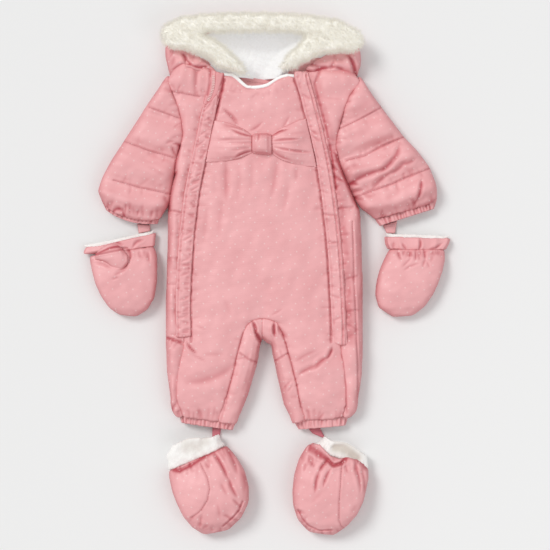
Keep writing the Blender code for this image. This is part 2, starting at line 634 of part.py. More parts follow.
def seam_gap(outer, inner, rows, number, key, toward):
    """Both points moved across a seam line by half the gap, towards the named neighbour point."""
    above, below = rows[max(number - 1, 0)], rows[min(number + 1, len(rows) - 1)]
    if key == "inner" and above["y"] > CROTCH_ROW_Y and rows[number]["y"] < CROTCH_ROW_Y:
        above = rows[number]
    if key == "inner" and rows[number]["y"] > CROTCH_ROW_Y:
        drop = -SEAM_SHARE * GAP if toward == "leg" else SEAM_SHARE * GAP
        return push(outer, (0.0, 1.0), drop), push(inner, (0.0, 1.0), drop)
    a, b = above[key], below[key]
    length = span(a, b)
    across = ((a[1] - b[1]) / length, (b[0] - a[0]) / length)
    place, goal = rows[number][key], rows[number][toward]
    side = (goal[0] - place[0]) * across[0] + (goal[1] - place[1]) * across[1]
    amount = math.copysign(SEAM_SHARE * GAP, side)
    return push(outer, across, amount), push(inner, across, amount)


def side_stations(width):
    margin = min(PLACKET_HALF, 0.45 * width)
    free = [share * (width - margin) for share in SIDE_SHARES]
    return free + [width - margin / 2.0, width]


def front_stations(width):
    free = [PLACKET_HALF + share * (width - PLACKET_HALF) for share in FRONT_SHARES]
    return [0.0, PLACKET_HALF / 2.0, PLACKET_HALF] + free


def neckline_drop(side, row, x, distance):
    """How far the neckline pulls a front panel's point down, none of it at the zip seam."""
    if row["y"] < NECK_BLEND_Y:
        return 0.0
    full = neck_seam(side, x) - GAP - table_value(NECKLINE, x, 1)
    return full * neck_fade(row["y"] - 2.0) * min(1.0, distance / PLACKET_HALF)


def body_panel(side, panel, stations):
    """Grids of outer and inner points of one panel of the half front."""
    outer_grid, inner_grid = [], []
    ends = {"side": ("side", "seam"), "front": ("seam", "inner"), "leg": ("inner", "leg")}[panel]
    rows = body_rows(side)
    for place_in_rows, row in enumerate(rows):
        if panel == "leg" and not row["leg"]:
            continue
        width = span(row[ends[0]], row[ends[1]])
        outer_row, inner_row = [], []
        distances = stations(width)
        for number, distance in enumerate(distances):
            outer, inner = front_point(row, panel, distance)
            first, last = number == 0, number == len(distances) - 1
            open_side = panel == "side" and not closed_side(row) and row["share"] == 1.0
            if first and (panel != "side" or open_side):
                outer, inner = seam_gap(outer, inner, rows, place_in_rows, ends[0], ends[1])
            if last and (panel == "side" or (panel == "front" and row["leg"])):
                outer, inner = seam_gap(outer, inner, rows, place_in_rows, ends[1], ends[0])
            if panel == "front":
                drop = neckline_drop(side, row, outer[0], distance)
                outer = (outer[0], outer[1] - drop, outer[2])
                inner = (inner[0], inner[1] - drop, inner[2])
            if panel == "leg" and row["y"] > CROTCH_ROW_Y:
                away = -GAP / 2.0 if side == "right" else GAP / 2.0
                outer = (outer[0] + away, outer[1], outer[2])
                inner = (inner[0] + away, inner[1], inner[2])
            outer_row.append(outer)
            inner_row.append(inner)
        outer_grid.append(outer_row)
        inner_grid.append(inner_row)
    return outer_grid, inner_grid


def halves_wall(name, halves, joined_rows, material):
    """A wall of two half grids welded down the centre line for the first rows."""
    points, faces, index = [], [], {}

    def vertex(point):
        key = tuple(round(v, 3) for v in point)
        if key not in index:
            index[key] = len(points)
            points.append(point)
        return index[key]

    def face(*corners):
        ids = []
        for corner in corners:
            if vertex(corner) not in ids:
                ids.append(vertex(corner))
        if len(ids) > 2:
            faces.append(tuple(ids))

    for outer, inner in halves:
        last = len(outer[0]) - 1
        for r in range(len(outer) - 1):
            for c in range(last):
                face(outer[r][c], outer[r][c + 1], outer[r + 1][c + 1], outer[r + 1][c])
                face(inner[r][c], inner[r + 1][c], inner[r + 1][c + 1], inner[r][c + 1])
            face(outer[r][0], outer[r + 1][0], inner[r + 1][0], inner[r][0])
            if r >= joined_rows - 1:
                face(outer[r][last], inner[r][last], inner[r + 1][last], outer[r + 1][last])
        for c in range(last):
            face(outer[0][c], inner[0][c], inner[0][c + 1], outer[0][c + 1])
            face(outer[-1][c], outer[-1][c + 1], inner[-1][c + 1], inner[-1][c])
    return new_object(name, points, faces, material)


def joined_row_count(side):
    """Rows above the legs, where the right and left halves are one piece."""
    return sum(1 for row in body_rows(side) if row["y"] >= CROTCH_ROW_Y)


def make_front_body(material):
    """The front centre panel: a bib that runs down into both front legs."""
    halves = [body_panel(side, "front", front_stations) for side in SIDES]
    halves_wall("front_body", halves, joined_row_count("right"), material)


def make_side_and_leg_panels(material):
    for side in SIDES:
        outer, inner = body_panel(side, "side", side_stations)
        sheet_wall("side_front_" + side, outer, inner, material)
        outer, inner = body_panel(side, "leg", lambda width: [s * width for s in INNER_LEG_SHARES])
        sheet_wall("inner_leg_" + side, outer, inner, material)


def zip_strip(name, side, high_y, low_y, crown, material):
    """A strip over a zip seam between two heights, made from the panels' own points, moved out."""
    outer_grid, inner_grid = [], []
    rows = [row for row in body_rows(side) if low_y <= row["y"] <= high_y]
    for number, row in enumerate(rows):
        side_width = span(row["side"], row["seam"])
        places = [("side", side_width - PLACKET_HALF), ("side", side_width - PLACKET_HALF / 2.0),
                  ("side", side_width), ("front", PLACKET_HALF / 2.0), ("front", PLACKET_HALF)]
        low, high = [], []
        for (panel, distance), thick in zip(places, crown):
            x, y, z = front_point(row, panel, distance, puffed=False)[0]
            if panel == "front":
                y -= neckline_drop(side, row, x, distance)
            if number == 0:
                y -= GAP / 2.0
            if number == len(rows) - 1:
                y += GAP / 2.0
            low.append((x, y, z + GAP))
            high.append((x, y, z + GAP + thick))
        outer_grid.append(high)
        inner_grid.append(low)
    sheet_wall(name, outer_grid, inner_grid, material)


def make_plackets(material):
    """Zip plackets; the wearer's right one is folded open at the top and shows its zip tape."""
    zip_strip("placket_left", "left", TORSO_TOP_Y, PLACKET_END_Y, PLACKET_CROWN, material)
    zip_strip("placket_right", "right", TAPE_END_Y, PLACKET_END_Y, PLACKET_CROWN, material)
    zip_strip("zip_tape_right", "right", TORSO_TOP_Y, TAPE_END_Y, TAPE_CROWN, material)


def make_back_body(material):
    """The whole back: flat on the surface, turned up to the side and inner-leg seams."""
    seam_z = SIDE_SEAM_Z - GAP / 2.0
    halves = []
    for side in SIDES:
        outer, inner = [], []
        for row in body_rows(side):
            a, b = row["side"], row["leg"] or row["inner"]
            width = span(a, b)
            heading = ((b[0] - a[0]) / width, (b[1] - a[1]) / width)
            closed = closed_side(row)
            leg = 1.0 if row["leg"] else 0.0
            inset = 0.0 if closed or row["share"] < 1.0 else GAP / 2.0
            far = width - LEG_ROUND
            turned = [inset] + [SIDE_ROUND * share for share in TURN_SHARES]
            middle = [SIDE_ROUND + share * (far - SIDE_ROUND) for share in BACK_SHARES]
            near_leg = [width - LEG_ROUND * share for share in reversed(TURN_SHARES)]
            outer_row, inner_row = [], []
            for distance in turned + middle + near_leg + [width]:
                x, y = mix(a, b, distance / width)
                up = max(closed * (1.0 - quarter(distance, SIDE_ROUND)),
                         leg * (1.0 - quarter(width - distance, LEG_ROUND)))
                shift = BACK_WALL * (closed * max(0.0, 1.0 - distance / SIDE_ROUND)
                                     - leg * max(0.0, 1.0 - (width - distance) / LEG_ROUND))
                turned_in = (heading[0] * shift, heading[1] * shift)
                if leg and row["y"] > CROTCH_ROW_Y and distance > far:
                    turned_in = (0.0, BACK_WALL * (1.0 - (width - distance) / LEG_ROUND))
                outer_row.append((x, y, seam_z * up))
                inner_row.append((x + turned_in[0], y + turned_in[1],
                                  seam_z - (seam_z - BACK_WALL) * (1.0 - up)))
            outer.append(outer_row)
            inner.append(inner_row)
        halves.append((outer, inner))
    halves_wall("back_body", halves, joined_row_count("right"), material)


# ---- sleeves and hood --------------------------------------------------------------------
def sleeve_quilt(number):
    for low, high in zip(SLEEVE_QUILTS, SLEEVE_QUILTS[1:]):
        if number <= high:
            return plump((number - low) / (high - low), 2.2)
    return 0.0


def make_sleeve(side, material):
    """One sleeve: a wall from the front armhole over the outer edge round to the back armhole."""
    outer_grid, inner_grid = [], []
    for number, row in enumerate(SLEEVE_TABLES[side]):
        edge, arm = row[0:2], row[2:4]
        share, shut, sag = row[4:7]
        width = span(edge, arm)
        heading = ((arm[0] - edge[0]) / width, (arm[1] - edge[1]) / width)
        down = (-heading[1], heading[0])
        if down[1] > 0.0:
            down = (heading[1], -heading[0])
        width -= GAP / 2.0
        turn = min(SIDE_ROUND, 0.42 * width)
        half = [turn * s for s in TURN_SHARES]
        middle = [turn + s * (width - 2.0 * turn) for s in BACK_SHARES]
        far = [width - turn * s for s in reversed(TURN_SHARES)]
        one_way = half + middle + far + [width]
        wall_shift = min(WALL, 0.35 * width)
        rise = FRONT_RISE * share
        outer_row, inner_row = [], []
        for front, distances in ((True, reversed(one_way)), (True, [0.0]), (False, one_way)):
            for distance in distances:
                rounding = quarter(distance, turn) * (1.0 - shut * (1.0 - quarter(width - distance, turn)))
                bend = sag * 4.0 * (distance / width) * (1.0 - distance / width)
                x = edge[0] + heading[0] * distance + down[0] * bend
                y = edge[1] + heading[1] * distance + down[1] * bend
                shift = wall_shift * (max(0.0, 1.0 - distance / turn)
                                      - shut * max(0.0, 1.0 - (width - distance) / turn))
                slit = GAP / 2.0 if distance > 0.0 and shut and distance == width else 0.0
                if front:
                    sewn = 1.0 - max(0.0, 1.0 - (width - distance) / ARMHOLE_FLAT) ** 2
                    puff = CHANNEL_PUFF * sleeve_quilt(number) * sewn - crease_depth(x, y)
                    high = SIDE_SEAM_Z + slit + rise * rounding + max(puff, THINNEST - WALL) * rounding
                    low = SIDE_SEAM_Z + slit + max(0.0, rise - WALL) * rounding
                else:
                    high = (SIDE_SEAM_Z - slit) * (1.0 - rounding)
                    low = SIDE_SEAM_Z - slit - (SIDE_SEAM_Z - slit - BACK_WALL) * rounding
                outer_row.append((x, y, high))
                inner_row.append((x + heading[0] * shift, y + heading[1] * shift, low))
        outer_grid.append(outer_row)
        inner_grid.append(inner_row)
    sheet_wall("sleeve_" + side, outer_grid, inner_grid, material)


def make_hood(side, material):
    """One side of the hood: from its centre seam under the lining, out and over to the fur."""
    sign = -1.0 if side == "right" else 1.0
    outer_grid, inner_grid = [], []
    for x, y, centre_y, flap, clear, share in HOOD_TABLES[side]:
        edge, centre = (x, y), (MIDLINE + sign * GAP / 2.0, centre_y)
        width = span(edge, centre)
        heading = ((centre[0] - x) / width, (centre[1] - y) / width)
        turn = min(HOOD_ROUND, 0.4 * width)
        turn_front = min(HOOD_ROUND, 0.45 * flap)
        back = [turn * s for s in TURN_SHARES] + [turn + s * (width - turn) for s in HOOD_SHARES]
        front = [turn_front * s for s in TURN_SHARES]
        front += [turn_front + s * (flap - turn_front) for s in HOOD_SHARES]
        wall = min(HOOD_WALL, 0.3 * flap)
        outer_row, inner_row = [], []
        for on_front, distances in ((False, reversed(back)), (False, [0.0]), (True, front)):
            for distance in distances:
                px = x + heading[0] * distance
                py = y + heading[1] * distance
                shift = wall * max(0.0, 1.0 - distance / turn)
                lift = 0.0
                if on_front:
                    rounding = quarter(distance, turn_front)
                    full = min(1.0, share)
                    puff = HOOD_PUFF * share * plump(min(1.0, distance / clear), 2.2)
                    high = SIDE_SEAM_Z + HOOD_RISE * full * rounding + puff * rounding
                    low = SIDE_SEAM_Z + max(0.0, HOOD_RISE * full - wall) * rounding
                    lift = wall * max(0.0, 1.0 - 2.0 * share) * rounding
                else:
                    rounding = quarter(distance, turn)
                    high = SIDE_SEAM_Z * (1.0 - rounding)
                    low = SIDE_SEAM_Z - (SIDE_SEAM_Z - wall) * rounding
                outer_row.append((px, py, high))
                inner_row.append((px + heading[0] * shift, py + heading[1] * shift + lift, low))
        outer_grid.append(outer_row)
        inner_grid.append(inner_row)
    sheet_wall("hood_" + side, outer_grid, inner_grid, material)


def make_hood_lining(material):
    """Fleece lining on the hood's back, the part that shows inside the fur."""
    top, bottom = [], []
    for y, right_x, left_x in LINING_ROWS:
        top_row, bottom_row = [], []
        for step in range(LINING_COLUMNS + 1):
            share = step / LINING_COLUMNS
            x = right_x + (left_x - right_x) * share
            swell = LINING_SWELL * plump(share)
            place_y = max(y, neck_seam("right" if x < MIDLINE else "left", x) + 1.5)
            bottom_row.append((x, place_y, HOOD_WALL + GAP))
            top_row.append((x, place_y, HOOD_WALL + GAP + LINING_WALL + swell))
        top.append(top_row)
        bottom.append(bottom_row)
    sheet_wall("hood_lining", top, bottom, material)


def make_neck_facing(material):
    """The inside of the back neck, a narrow pink band between the neckline and the lining."""
    top, bottom = [], []
    for step in range(FACING_STEPS + 1):
        x = FACING_X[0] + (FACING_X[1] - FACING_X[0]) * step / FACING_STEPS
        side = "right" if x < MIDLINE else "left"
        high_y = neck_seam(side, x) - 1.0
        rows = [high_y, high_y - FACING_WIDTH / 2.0, high_y - FACING_WIDTH]
        top.append([(x, y, BACK_WALL + GAP + thick) for y, thick in zip(rows, FACING_THICK)])
        bottom.append([(x, y, BACK_WALL + GAP) for y in rows])
    sheet_wall("neck_facing", top, bottom, material)


def make_fur(material):
    """The fur trim round the hood's opening, as full as the fur stands."""
    loops = []
    for row in FUR:
        loops.append(ring(row[0:2], row[2:4], FUR_LOW, FUR_LOW + row[4], FUR_SIDES, square=2.3))
    solid_tube("hood_fur", loops, material)


# ---- what lies on the front --------------------------------------------------------------
def height_over(trees, x, y):
    """Highest point of the finished pieces near a place, in mm."""
    best = 0.0
    for tree in trees:
        for dx in (-CUSHION_REACH, 0.0, CUSHION_REACH):
            for dy in (-CUSHION_REACH, 0.0, CUSHION_REACH):
                above = Vector(((x + dx) * MM, (y + dy) * MM, 1.0))
                hit = tree.ray_cast(above, Vector((0.0, 0.0, -1.0)))
                if hit[0] is not None:
                    best = max(best, hit[0].z / MM)
    return best


def surface_tree(name):
    mesh = bpy.data.objects[name].data
    points = [vertex.co.copy() for vertex in mesh.vertices]
    return BVHTree.FromPolygons(points, [tuple(face.vertices) for face in mesh.polygons])


def cushion_loops(stations, trees, seat, steps, pleats):
    """Closed loops of a soft strip that lies on a piece: x, y of both edges and thickness a row."""
    loops = []
    for number, (x0, y0, x1, y1, thick) in enumerate(stations):
        low, high = [], []
        for step in range(steps + 1):
            share = step / steps
            x, y = x0 + (x1 - x0) * share, y0 + (y1 - y0) * share
            base = height_over(trees, x, y) + seat
            crown = thick * (1.0 - abs(2.0 * share - 1.0) ** 3.0) ** 0.7
            fold = pleats * (0.5 - 0.5 * math.cos(2.0 * math.pi * BOW_PLEATS * share)) * thick / 12.0
            low.append((x, y, base))
            high.append((x, y, base + max(1.0, crown - fold)))
        loops.append(low + high[::-1])
    return loops


def make_bow(material):
    trees = [surface_tree("front_body")]
    for side, table, knot_x in (("right", BOW_RIGHT, BOW_KNOT_RIGHT_X), ("left", BOW_LEFT, BOW_KNOT_LEFT_X)):
        stations = []
        sign = 1.0 if side == "right" else -1.0
        column = TORSO_COLUMNS[side][1]
        for share, top_y, low_y, thick in catmull(table, 2):
            ends = []
            for y in (low_y, top_y):
                sewn_x = table_value(TORSO, y, column) + sign * (PLACKET_HALF + 1.0)
                ends += [sewn_x + (knot_x - sewn_x) * share, y]
            stations.append(tuple(ends) + (thick,))
        loops = cushion_loops(stations, trees, BOW_SEAT, BOW_STEPS, BOW_PLEAT_DEPTH)
        solid_tube("bow_loop_" + side, loops, material)
    stations = [(BOW_KNOT_RIGHT_X + GAP, 177.0, BOW_KNOT_RIGHT_X + GAP, 204.0, 9.0),
                (-14.0, 175.5, -14.0, 205.5, 15.0), (-7.0, 175.0, -7.0, 206.0, 16.0),
                (0.0, 174.5, 0.0, 206.0, 15.0),
                (BOW_KNOT_LEFT_X - GAP, 174.5, BOW_KNOT_LEFT_X - GAP, 204.5, 9.0)]
    solid_tube("bow_knot", cushion_loops(stations, trees, BOW_SEAT, BOW_STEPS, 0.0), material)


def make_neck_binding(material):
    """Pale binding along the front neckline, a round edge just outside the panel's top edge."""
    edge = []
    for side in SIDES:
        outer = body_panel(side, "front", front_stations)[0]
        points = outer[0][2:]
        edge += points if side == "right" else list(reversed(points))[1:]
    loops = []
    for number, point in enumerate(edge):
        before, after = edge[max(number - 1, 0)], edge[min(number + 1, len(edge) - 1)]
        run = span(before, after)
        across = ((before[1] - after[1]) / run, (after[0] - before[0]) / run)
        loop = []
        for k in range(BINDING_SIDES):
            angle = 2.0 * math.pi * k / BINDING_SIDES
            off = BINDING_RADIUS * (1.0 + math.cos(angle)) + BINDING_SEAT
            loop.append((point[0] + across[0] * off, point[1] + across[1] * off,
                         point[2] - 1.0 + BINDING_RADIUS * math.sin(angle)))
        loops.append(loop)
    solid_tube("neck_binding", loops, material)


# ---- cuffs, mittens and booties ----------------------------------------------------------
def flat_strip(name, rows, low, material):
    loops = []
    for row in rows:
        loops.append(ring(row[0:2], row[2:4], low, low + row[4], STRIP_SIDES, square=3.0))
    solid_tube(name, loops, material)


def make_cuffs_and_tabs(material):
    for name, rows in CUFFS.items():
        tube_wall(name, rows, BAND_WALL, 4 * CUFF_GATHERS[name], material, gathers=CUFF_GATHERS[name])
    for name, rows in TABS.items():
        flat_strip(name, rows, 0.0, material)


def make_mittens(material, lining_material):
    for side, table in (("right", MITTEN_RIGHT), ("left", MITTEN_LEFT)):
        tube_wall("mitten_" + side, table, WALL, MITTEN_SIDES, material, closed_end=True)
    for name, rows in MITTEN_BANDS.items():
        gathers = MITTEN_BAND_GATHERS[name]
        tube_wall(name, rows, BAND_WALL, max(MITTEN_SIDES, 3 * gathers), material, gathers=gathers)
    for side in SIDES:
        mouth, seam = MITTEN_BANDS["mitten_band_" + side]
        rows = [MITTEN_LINING_EDGES[side], mouth, mix(mouth, seam, 0.7)]
        inset = BAND_WALL + 2.0 * GAP
        tube_wall("mitten_lining_" + side, rows, LINING_WALL, MITTEN_SIDES, lining_material,
                  insets=[0.0, inset, inset])
    trees = [surface_tree("mitten_right"), surface_tree("mitten_band_right")]
    stations = [(x, y - half, x, y + half, thick) for x, y, half, thick in catmull(THUMB_RIGHT, 2)]
    solid_tube("mitten_thumb_right", cushion_loops(stations, trees, 2.0 * GAP, BOW_STEPS, 0.0), material)


def make_booties(material, lining_material):
    for side, table in (("right", BOOTIE_RIGHT), ("left", BOOTIE_LEFT)):
        tube_wall("bootie_" + side, table, WALL, BOOTIE_SIDES, material, closed_end=True,
                  low=SOLE_THICK + GAP)
        flat_strip("bootie_sole_" + side, [row[0:4] + (SOLE_THICK,) for row in table], 0.0, material)
    for name, rows in BOOTIE_COLLARS.items():
        tube_wall(name, rows, LINING_WALL, BOOTIE_SIDES, lining_material)


# ---- build -------------------------------------------------------------------------------
def new_material(name, color, roughness):
    material = bpy.data.materials.new(name)
    material.use_nodes = True
    shader = material.node_tree.nodes["Principled BSDF"]
    shader.inputs["Base Color"].default_value = color
    shader.inputs["Roughness"].default_value = roughness
    shader.inputs["Metallic"].default_value = 0.0
    return material


def main():
    for old in list(bpy.data.objects):
        bpy.data.objects.remove(old)
    collection = bpy.data.collections.new("baby_snowsuit")
    bpy.context.scene.collection.children.link(collection)
    shell = new_material("pink_shell", PINK, 0.6)
    trim = new_material("pink_trim", PINK_DEEP, 0.6)
    fleece = new_material("fleece", WHITE, 0.95)
    fur = new_material("faux_fur", CREAM, 0.95)
    make_back_body(shell)
    make_front_body(shell)
    make_side_and_leg_panels(shell)
    make_plackets(trim)
    for side in SIDES:
        make_sleeve(side, shell)
        make_hood(side, shell)
    make_hood_lining(fleece)
    make_neck_facing(trim)
    make_fur(fur)
    make_bow(shell)
    make_neck_binding(fleece)
    make_cuffs_and_tabs(trim)
    make_mittens(shell, fleece)
    make_booties(shell, fleece)


main()
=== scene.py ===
"""Baby snowsuit laid flat: the worn, creased and sewn look of every cut piece, with painted shade
in its folds and a painted glow in its pile and fur.
"""

import math
from collections import namedtuple

import bmesh
import bpy
import numpy as np
from bpy.props import FloatProperty, FloatVectorProperty, PointerProperty
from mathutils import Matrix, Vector
from mathutils.bvhtree import BVHTree


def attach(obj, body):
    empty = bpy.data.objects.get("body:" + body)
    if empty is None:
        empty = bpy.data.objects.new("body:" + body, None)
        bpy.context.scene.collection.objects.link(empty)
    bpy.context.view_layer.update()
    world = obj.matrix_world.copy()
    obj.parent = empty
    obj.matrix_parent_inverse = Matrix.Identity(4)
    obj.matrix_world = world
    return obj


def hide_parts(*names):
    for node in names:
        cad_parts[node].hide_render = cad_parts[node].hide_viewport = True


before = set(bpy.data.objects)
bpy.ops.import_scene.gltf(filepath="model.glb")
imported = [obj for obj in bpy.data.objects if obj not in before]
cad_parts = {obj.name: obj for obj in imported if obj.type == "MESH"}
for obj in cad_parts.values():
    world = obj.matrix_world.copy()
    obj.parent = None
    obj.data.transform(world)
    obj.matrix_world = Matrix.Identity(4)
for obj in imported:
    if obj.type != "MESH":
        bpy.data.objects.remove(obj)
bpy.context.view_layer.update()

bl_info = {
    "name": "Baby snowsuit",
    "version": (1, 0, 0),
    "blender": (4, 5, 0),
    "location": "View3D > Sidebar > Snowsuit",
    "description": "Makes the cloth, fur and sewing of a baby snowsuit laid flat",
    "category": "Object",
}

MM = 0.001
BODY = "root"
# How high the cloth banks up beside a fold and beside a pucker, as a share of its depth
FOLD_BANK, PUCKER_BANK = 0.5, 0.45
# How far from a sleeve's quilt lines the padding is drawn in, in mm
QUILT_REACH = 11
# Depth in mm at which a crease takes the full painted shade, a deeper colour, and the share of
# painted shade on steep flanks of the smooth cloth and of the pile
FULL_SHADE_DEPTH = 2.6
FLANK_PAINTED_SHADE, PILE_FLANK_PAINTED_SHADE = 0.68, 0.12
# A solid that starts lower than this, in mm, rests on the floor
REST_HEIGHT = 0.5
# Seeds of the puckers and of the fur's, the fibres', the stitches' and the teeth's random draws
PUCKER_SEED = 1000
TUFT_SEEDS = (41, 42)
FUR_SEED, STITCH_SEED, TEETH_SEED = 11, 3, 5
NAP_SEEDS = {"mitten_lining_right": 21, "mitten_lining_left": 22}
# The stage, in m: how far the floor reaches, the camera's height, the height of the suit's
# middle, the centre and width of what the camera sees there, and the sensor in mm
FLOOR_REACH = 4.0
CAMERA_HEIGHT = 3.0
SUIT_MIDDLE = 0.02
VIEW_CENTRE = (0.0116, 0.00145)
VIEW_WIDTH = 0.7975
SENSOR = 36.0


def linear(code):
    """An sRGB hex colour as linear red, green and blue."""
    parts = [int(code[i:i + 2], 16) / 255 for i in (1, 3, 5)]
    return tuple(c / 12.92 if c <= 0.04045 else ((c + 0.055) / 1.055) ** 2.4 for c in parts)


def beside(line, off):
    """The same line moved off mm in X."""
    return tuple((x + off, y) for x, y in line)


# ---------------------------------------------------------------- cut pieces
# Heights in mm that lie below every wall, so that creases go into the whole piece
ALL_OVER = (-9, -8)
# finish, even mesh in mm, relaxing passes, swell in mm, heights in mm from which and at which
# creases go in, grain in degrees, the cut's width and length in m and its area in square m
# where it isn't a rectangle, how it is held
Cut = namedtuple("Cut", "finish step passes swell heights turn flat held")
PIECES = {node: Cut(*row) for node, row in {
    "back_body": ("shell", 3.2, 8, 0.6, ALL_OVER, 0, (0.285, 0.505, 0.130), "laid"),
    "front_body": ("shell", 2.1, 6, 1.3, ALL_OVER, 0, (0.26, 0.505, 0.089), "laid"),
    "side_front_right": ("shell", 1.6, 9, 1.4, ALL_OVER, 0, (0.08, 0.50, 0.0184), "laid"),
    "side_front_left": ("shell", 1.6, 9, 1.4, ALL_OVER, 0, (0.09, 0.50, 0.0216), "laid"),
    "inner_leg_right": ("shell", 1.5, 7, 1.3, ALL_OVER, 0, (0.065, 0.152, 0.0054), "laid"),
    "inner_leg_left": ("shell", 1.5, 7, 1.3, ALL_OVER, 0, (0.065, 0.152, 0.0047), "laid"),
    "placket_left": ("shell", 1.1, 4, 1.1, ALL_OVER, 0, (0.022, 0.382), "laid"),
    "placket_right": ("shell", 1.1, 4, 1.1, ALL_OVER, 0, (0.022, 0.345), "laid"),
    "zip_tape_right": ("tape", 0.9, 3, 0.9, ALL_OVER, 0, (0.020, 0.043), "laid"),
    "sleeve_right": ("shell", 1.9, 28, 1.5, (8, 15), -38, (0.20, 0.21, 0.033), "laid"),
    "sleeve_left": ("shell", 1.9, 28, 1.5, (8, 15), 38, (0.21, 0.22, 0.0385), "laid"),
    "hood_right": ("shell", 1.8, 16, 1.4, (6, 12), -8, (0.15, 0.15, 0.0165), "folded"),
    "hood_left": ("shell", 1.8, 16, 1.4, (6, 12), 8, (0.15, 0.15, 0.0165), "folded"),
    "hood_lining": ("hood_pile", 1.8, 3, 0.3, ALL_OVER, 0, (0.24, 0.072, 0.0155), "laid"),
    "neck_facing": ("trim", 1.2, 3, 0.1, ALL_OVER, 0, (0.064, 0.0145), "laid"),
    "neck_binding": ("binding", 1, 14, 1.3, ALL_OVER, 0, None, "padded"),
    "bow_loop_right": ("bow", 1.1, 5, 0.3, ALL_OVER, 0, None, "padded"),
    "bow_loop_left": ("bow", 1.1, 5, 0.3, ALL_OVER, 0, None, "padded"),
    "bow_knot": ("bow", 1, 5, 0.3, ALL_OVER, 90, None, "padded"),
    "sleeve_cuff_right": ("trim", 1, 3, 0.2, (6, 10), -15, (0.11, 0.015), "gathered"),
    "sleeve_cuff_left": ("trim", 1, 3, 0.2, (6, 10), 15, (0.13, 0.0185), "gathered"),
    "ankle_cuff_right": ("trim", 1, 3, 0.2, (6, 10), 0, (0.125, 0.0185), "gathered"),
    "ankle_cuff_left": ("trim", 1, 3, 0.2, (6, 10), 0, (0.13, 0.0185), "gathered"),
    "mitten_tab_right": ("trim", 1, 3, 0.1, ALL_OVER, 0, (0.017, 0.017), "laid"),
    "mitten_tab_left": ("trim", 1, 3, 0.1, ALL_OVER, 0, (0.018, 0.019), "laid"),
    "bootie_tab_right": ("ribbon", 1, 3, 0.1, ALL_OVER, 0, (0.0155, 0.016), "laid"),
    "bootie_tab_left": ("ribbon", 1, 3, 0.1, ALL_OVER, 0, (0.024, 0.0118), "laid"),
    "mitten_right": ("shell", 1.7, 30, 1.8, (7, 13), -12, (0.20, 0.10, 0.0165), "laid"),
    "mitten_left": ("shell", 1.7, 30, 1.8, (7, 13), 6, (0.20, 0.10, 0.0167), "laid"),
    "mitten_band_right": ("trim", 1, 14, 0.8, (6, 10), -12, (0.175, 0.0185), "gathered"),
    "mitten_band_left": ("trim", 1, 14, 0.8, (6, 10), 4, (0.18, 0.0185), "gathered"),
    "mitten_lining_right": ("fleece", 1.4, 3, 0.3, (6, 10), 0, (0.17, 0.018), "laid"),
    "mitten_lining_left": ("fleece", 1.4, 3, 0.3, (6, 10), 0, (0.17, 0.0183), "laid"),
    "mitten_thumb_right": ("shell", 1.2, 5, 0.3, ALL_OVER, -12, (0.045, 0.036), "folded"),
    "bootie_right": ("shell", 1.75, 30, 1.9, (12, 22), 20, (0.24, 0.125, 0.0242), "laid"),
    "bootie_left": ("shell", 1.75, 30, 1.9, (12, 22), -12, (0.24, 0.125, 0.0237), "laid"),
    "bootie_sole_right": ("sole", 2.2, 2, 0.05, ALL_OVER, 0, (0.112, 0.126, 0.0100), "laid"),
    "bootie_sole_left": ("sole", 2.2, 2, 0.05, ALL_OVER, 0, (0.106, 0.123, 0.0098), "laid"),
    "bootie_collar_right": ("fleece", 1.4, 34, 2.2, (8, 14), 0, (0.19, 0.0215), "folded"),
    "bootie_collar_left": ("fleece", 1.4, 16, 1.6, (8, 14), 0, (0.18, 0.0212), "folded"),
}.items()}
# Pieces that one operator makes
GROUPS = {
    "body": ("back_body", "front_body", "side_front_right", "side_front_left",
             "inner_leg_right", "inner_leg_left"),
    "plackets": ("placket_left", "placket_right", "zip_tape_right"),
    "sleeves": ("sleeve_right", "sleeve_left", "sleeve_cuff_right", "sleeve_cuff_left"),
    "hood": ("hood_right", "hood_left", "hood_lining", "neck_facing", "neck_binding"),
    "bow": ("bow_loop_right", "bow_loop_left", "bow_knot"),
    "leg_cuffs": ("ankle_cuff_right", "ankle_cuff_left", "bootie_tab_right", "bootie_tab_left"),
    "mittens": ("mitten_right", "mitten_left", "mitten_band_right", "mitten_band_left",
                "mitten_lining_right", "mitten_lining_left", "mitten_thumb_right",
                "mitten_tab_right", "mitten_tab_left"),
    "booties": ("bootie_right", "bootie_left", "bootie_sole_right", "bootie_sole_left",
                "bootie_collar_right", "bootie_collar_left"),
}
# Each finish's material and slot, and what it gives the eye; the cloth of every cut piece also
# takes painted shade in its folds and on steep flanks
FINISHES = {
    "shell": ("polyester_shell_pin_dot", "pink_shell"),  # satin skin with pale pin dots
    "bow": ("polyester_bow_cloth", "pink_shell"),  # the same cloth, cut small
    "trim": ("polyester_binding", "pink_trim"),  # plain satin skin without dots
    "sole": ("polyester_sole_cloth", "pink_trim"),  # duller, as it is rubbed
    "tape": ("woven_zip_tape", "pink_trim"),  # flat, matt and a little deeper pink
    "ribbon": ("polyester_grosgrain_ribbon", "pink_trim"),  # ribbed, matt, deepest pink
    "thread": ("spun_polyester_thread", "pink_trim"),  # fine matt dashes on the seams
    "coil": ("moulded_nylon_coil", "pink_trim"),  # small smooth glints
    # from here on each finish also takes a painted glow, by emission; the fleece has painted grey
    # shade in its hollows, and the hood's pile is greyer and glows more, which evens out the shade
    # under the fur
    "fleece": ("polyester_pile_fleece", "fleece"),  # soft white bobbles
    "hood_pile": ("polyester_hood_pile", "fleece"),  # even, greyer white under the hood
    "binding": ("brushed_cotton_binding", "fleece"),  # smooth bright white roll
    "nap": ("polyester_fleece_fibre", "fleece"),  # a blurred white edge
    "fur": ("acrylic_faux_fur", "faux_fur"),  # cream ground between the strands
    "strand": ("acrylic_fur_fibre", "faux_fur"),  # light cream strands that glow at the tips
}

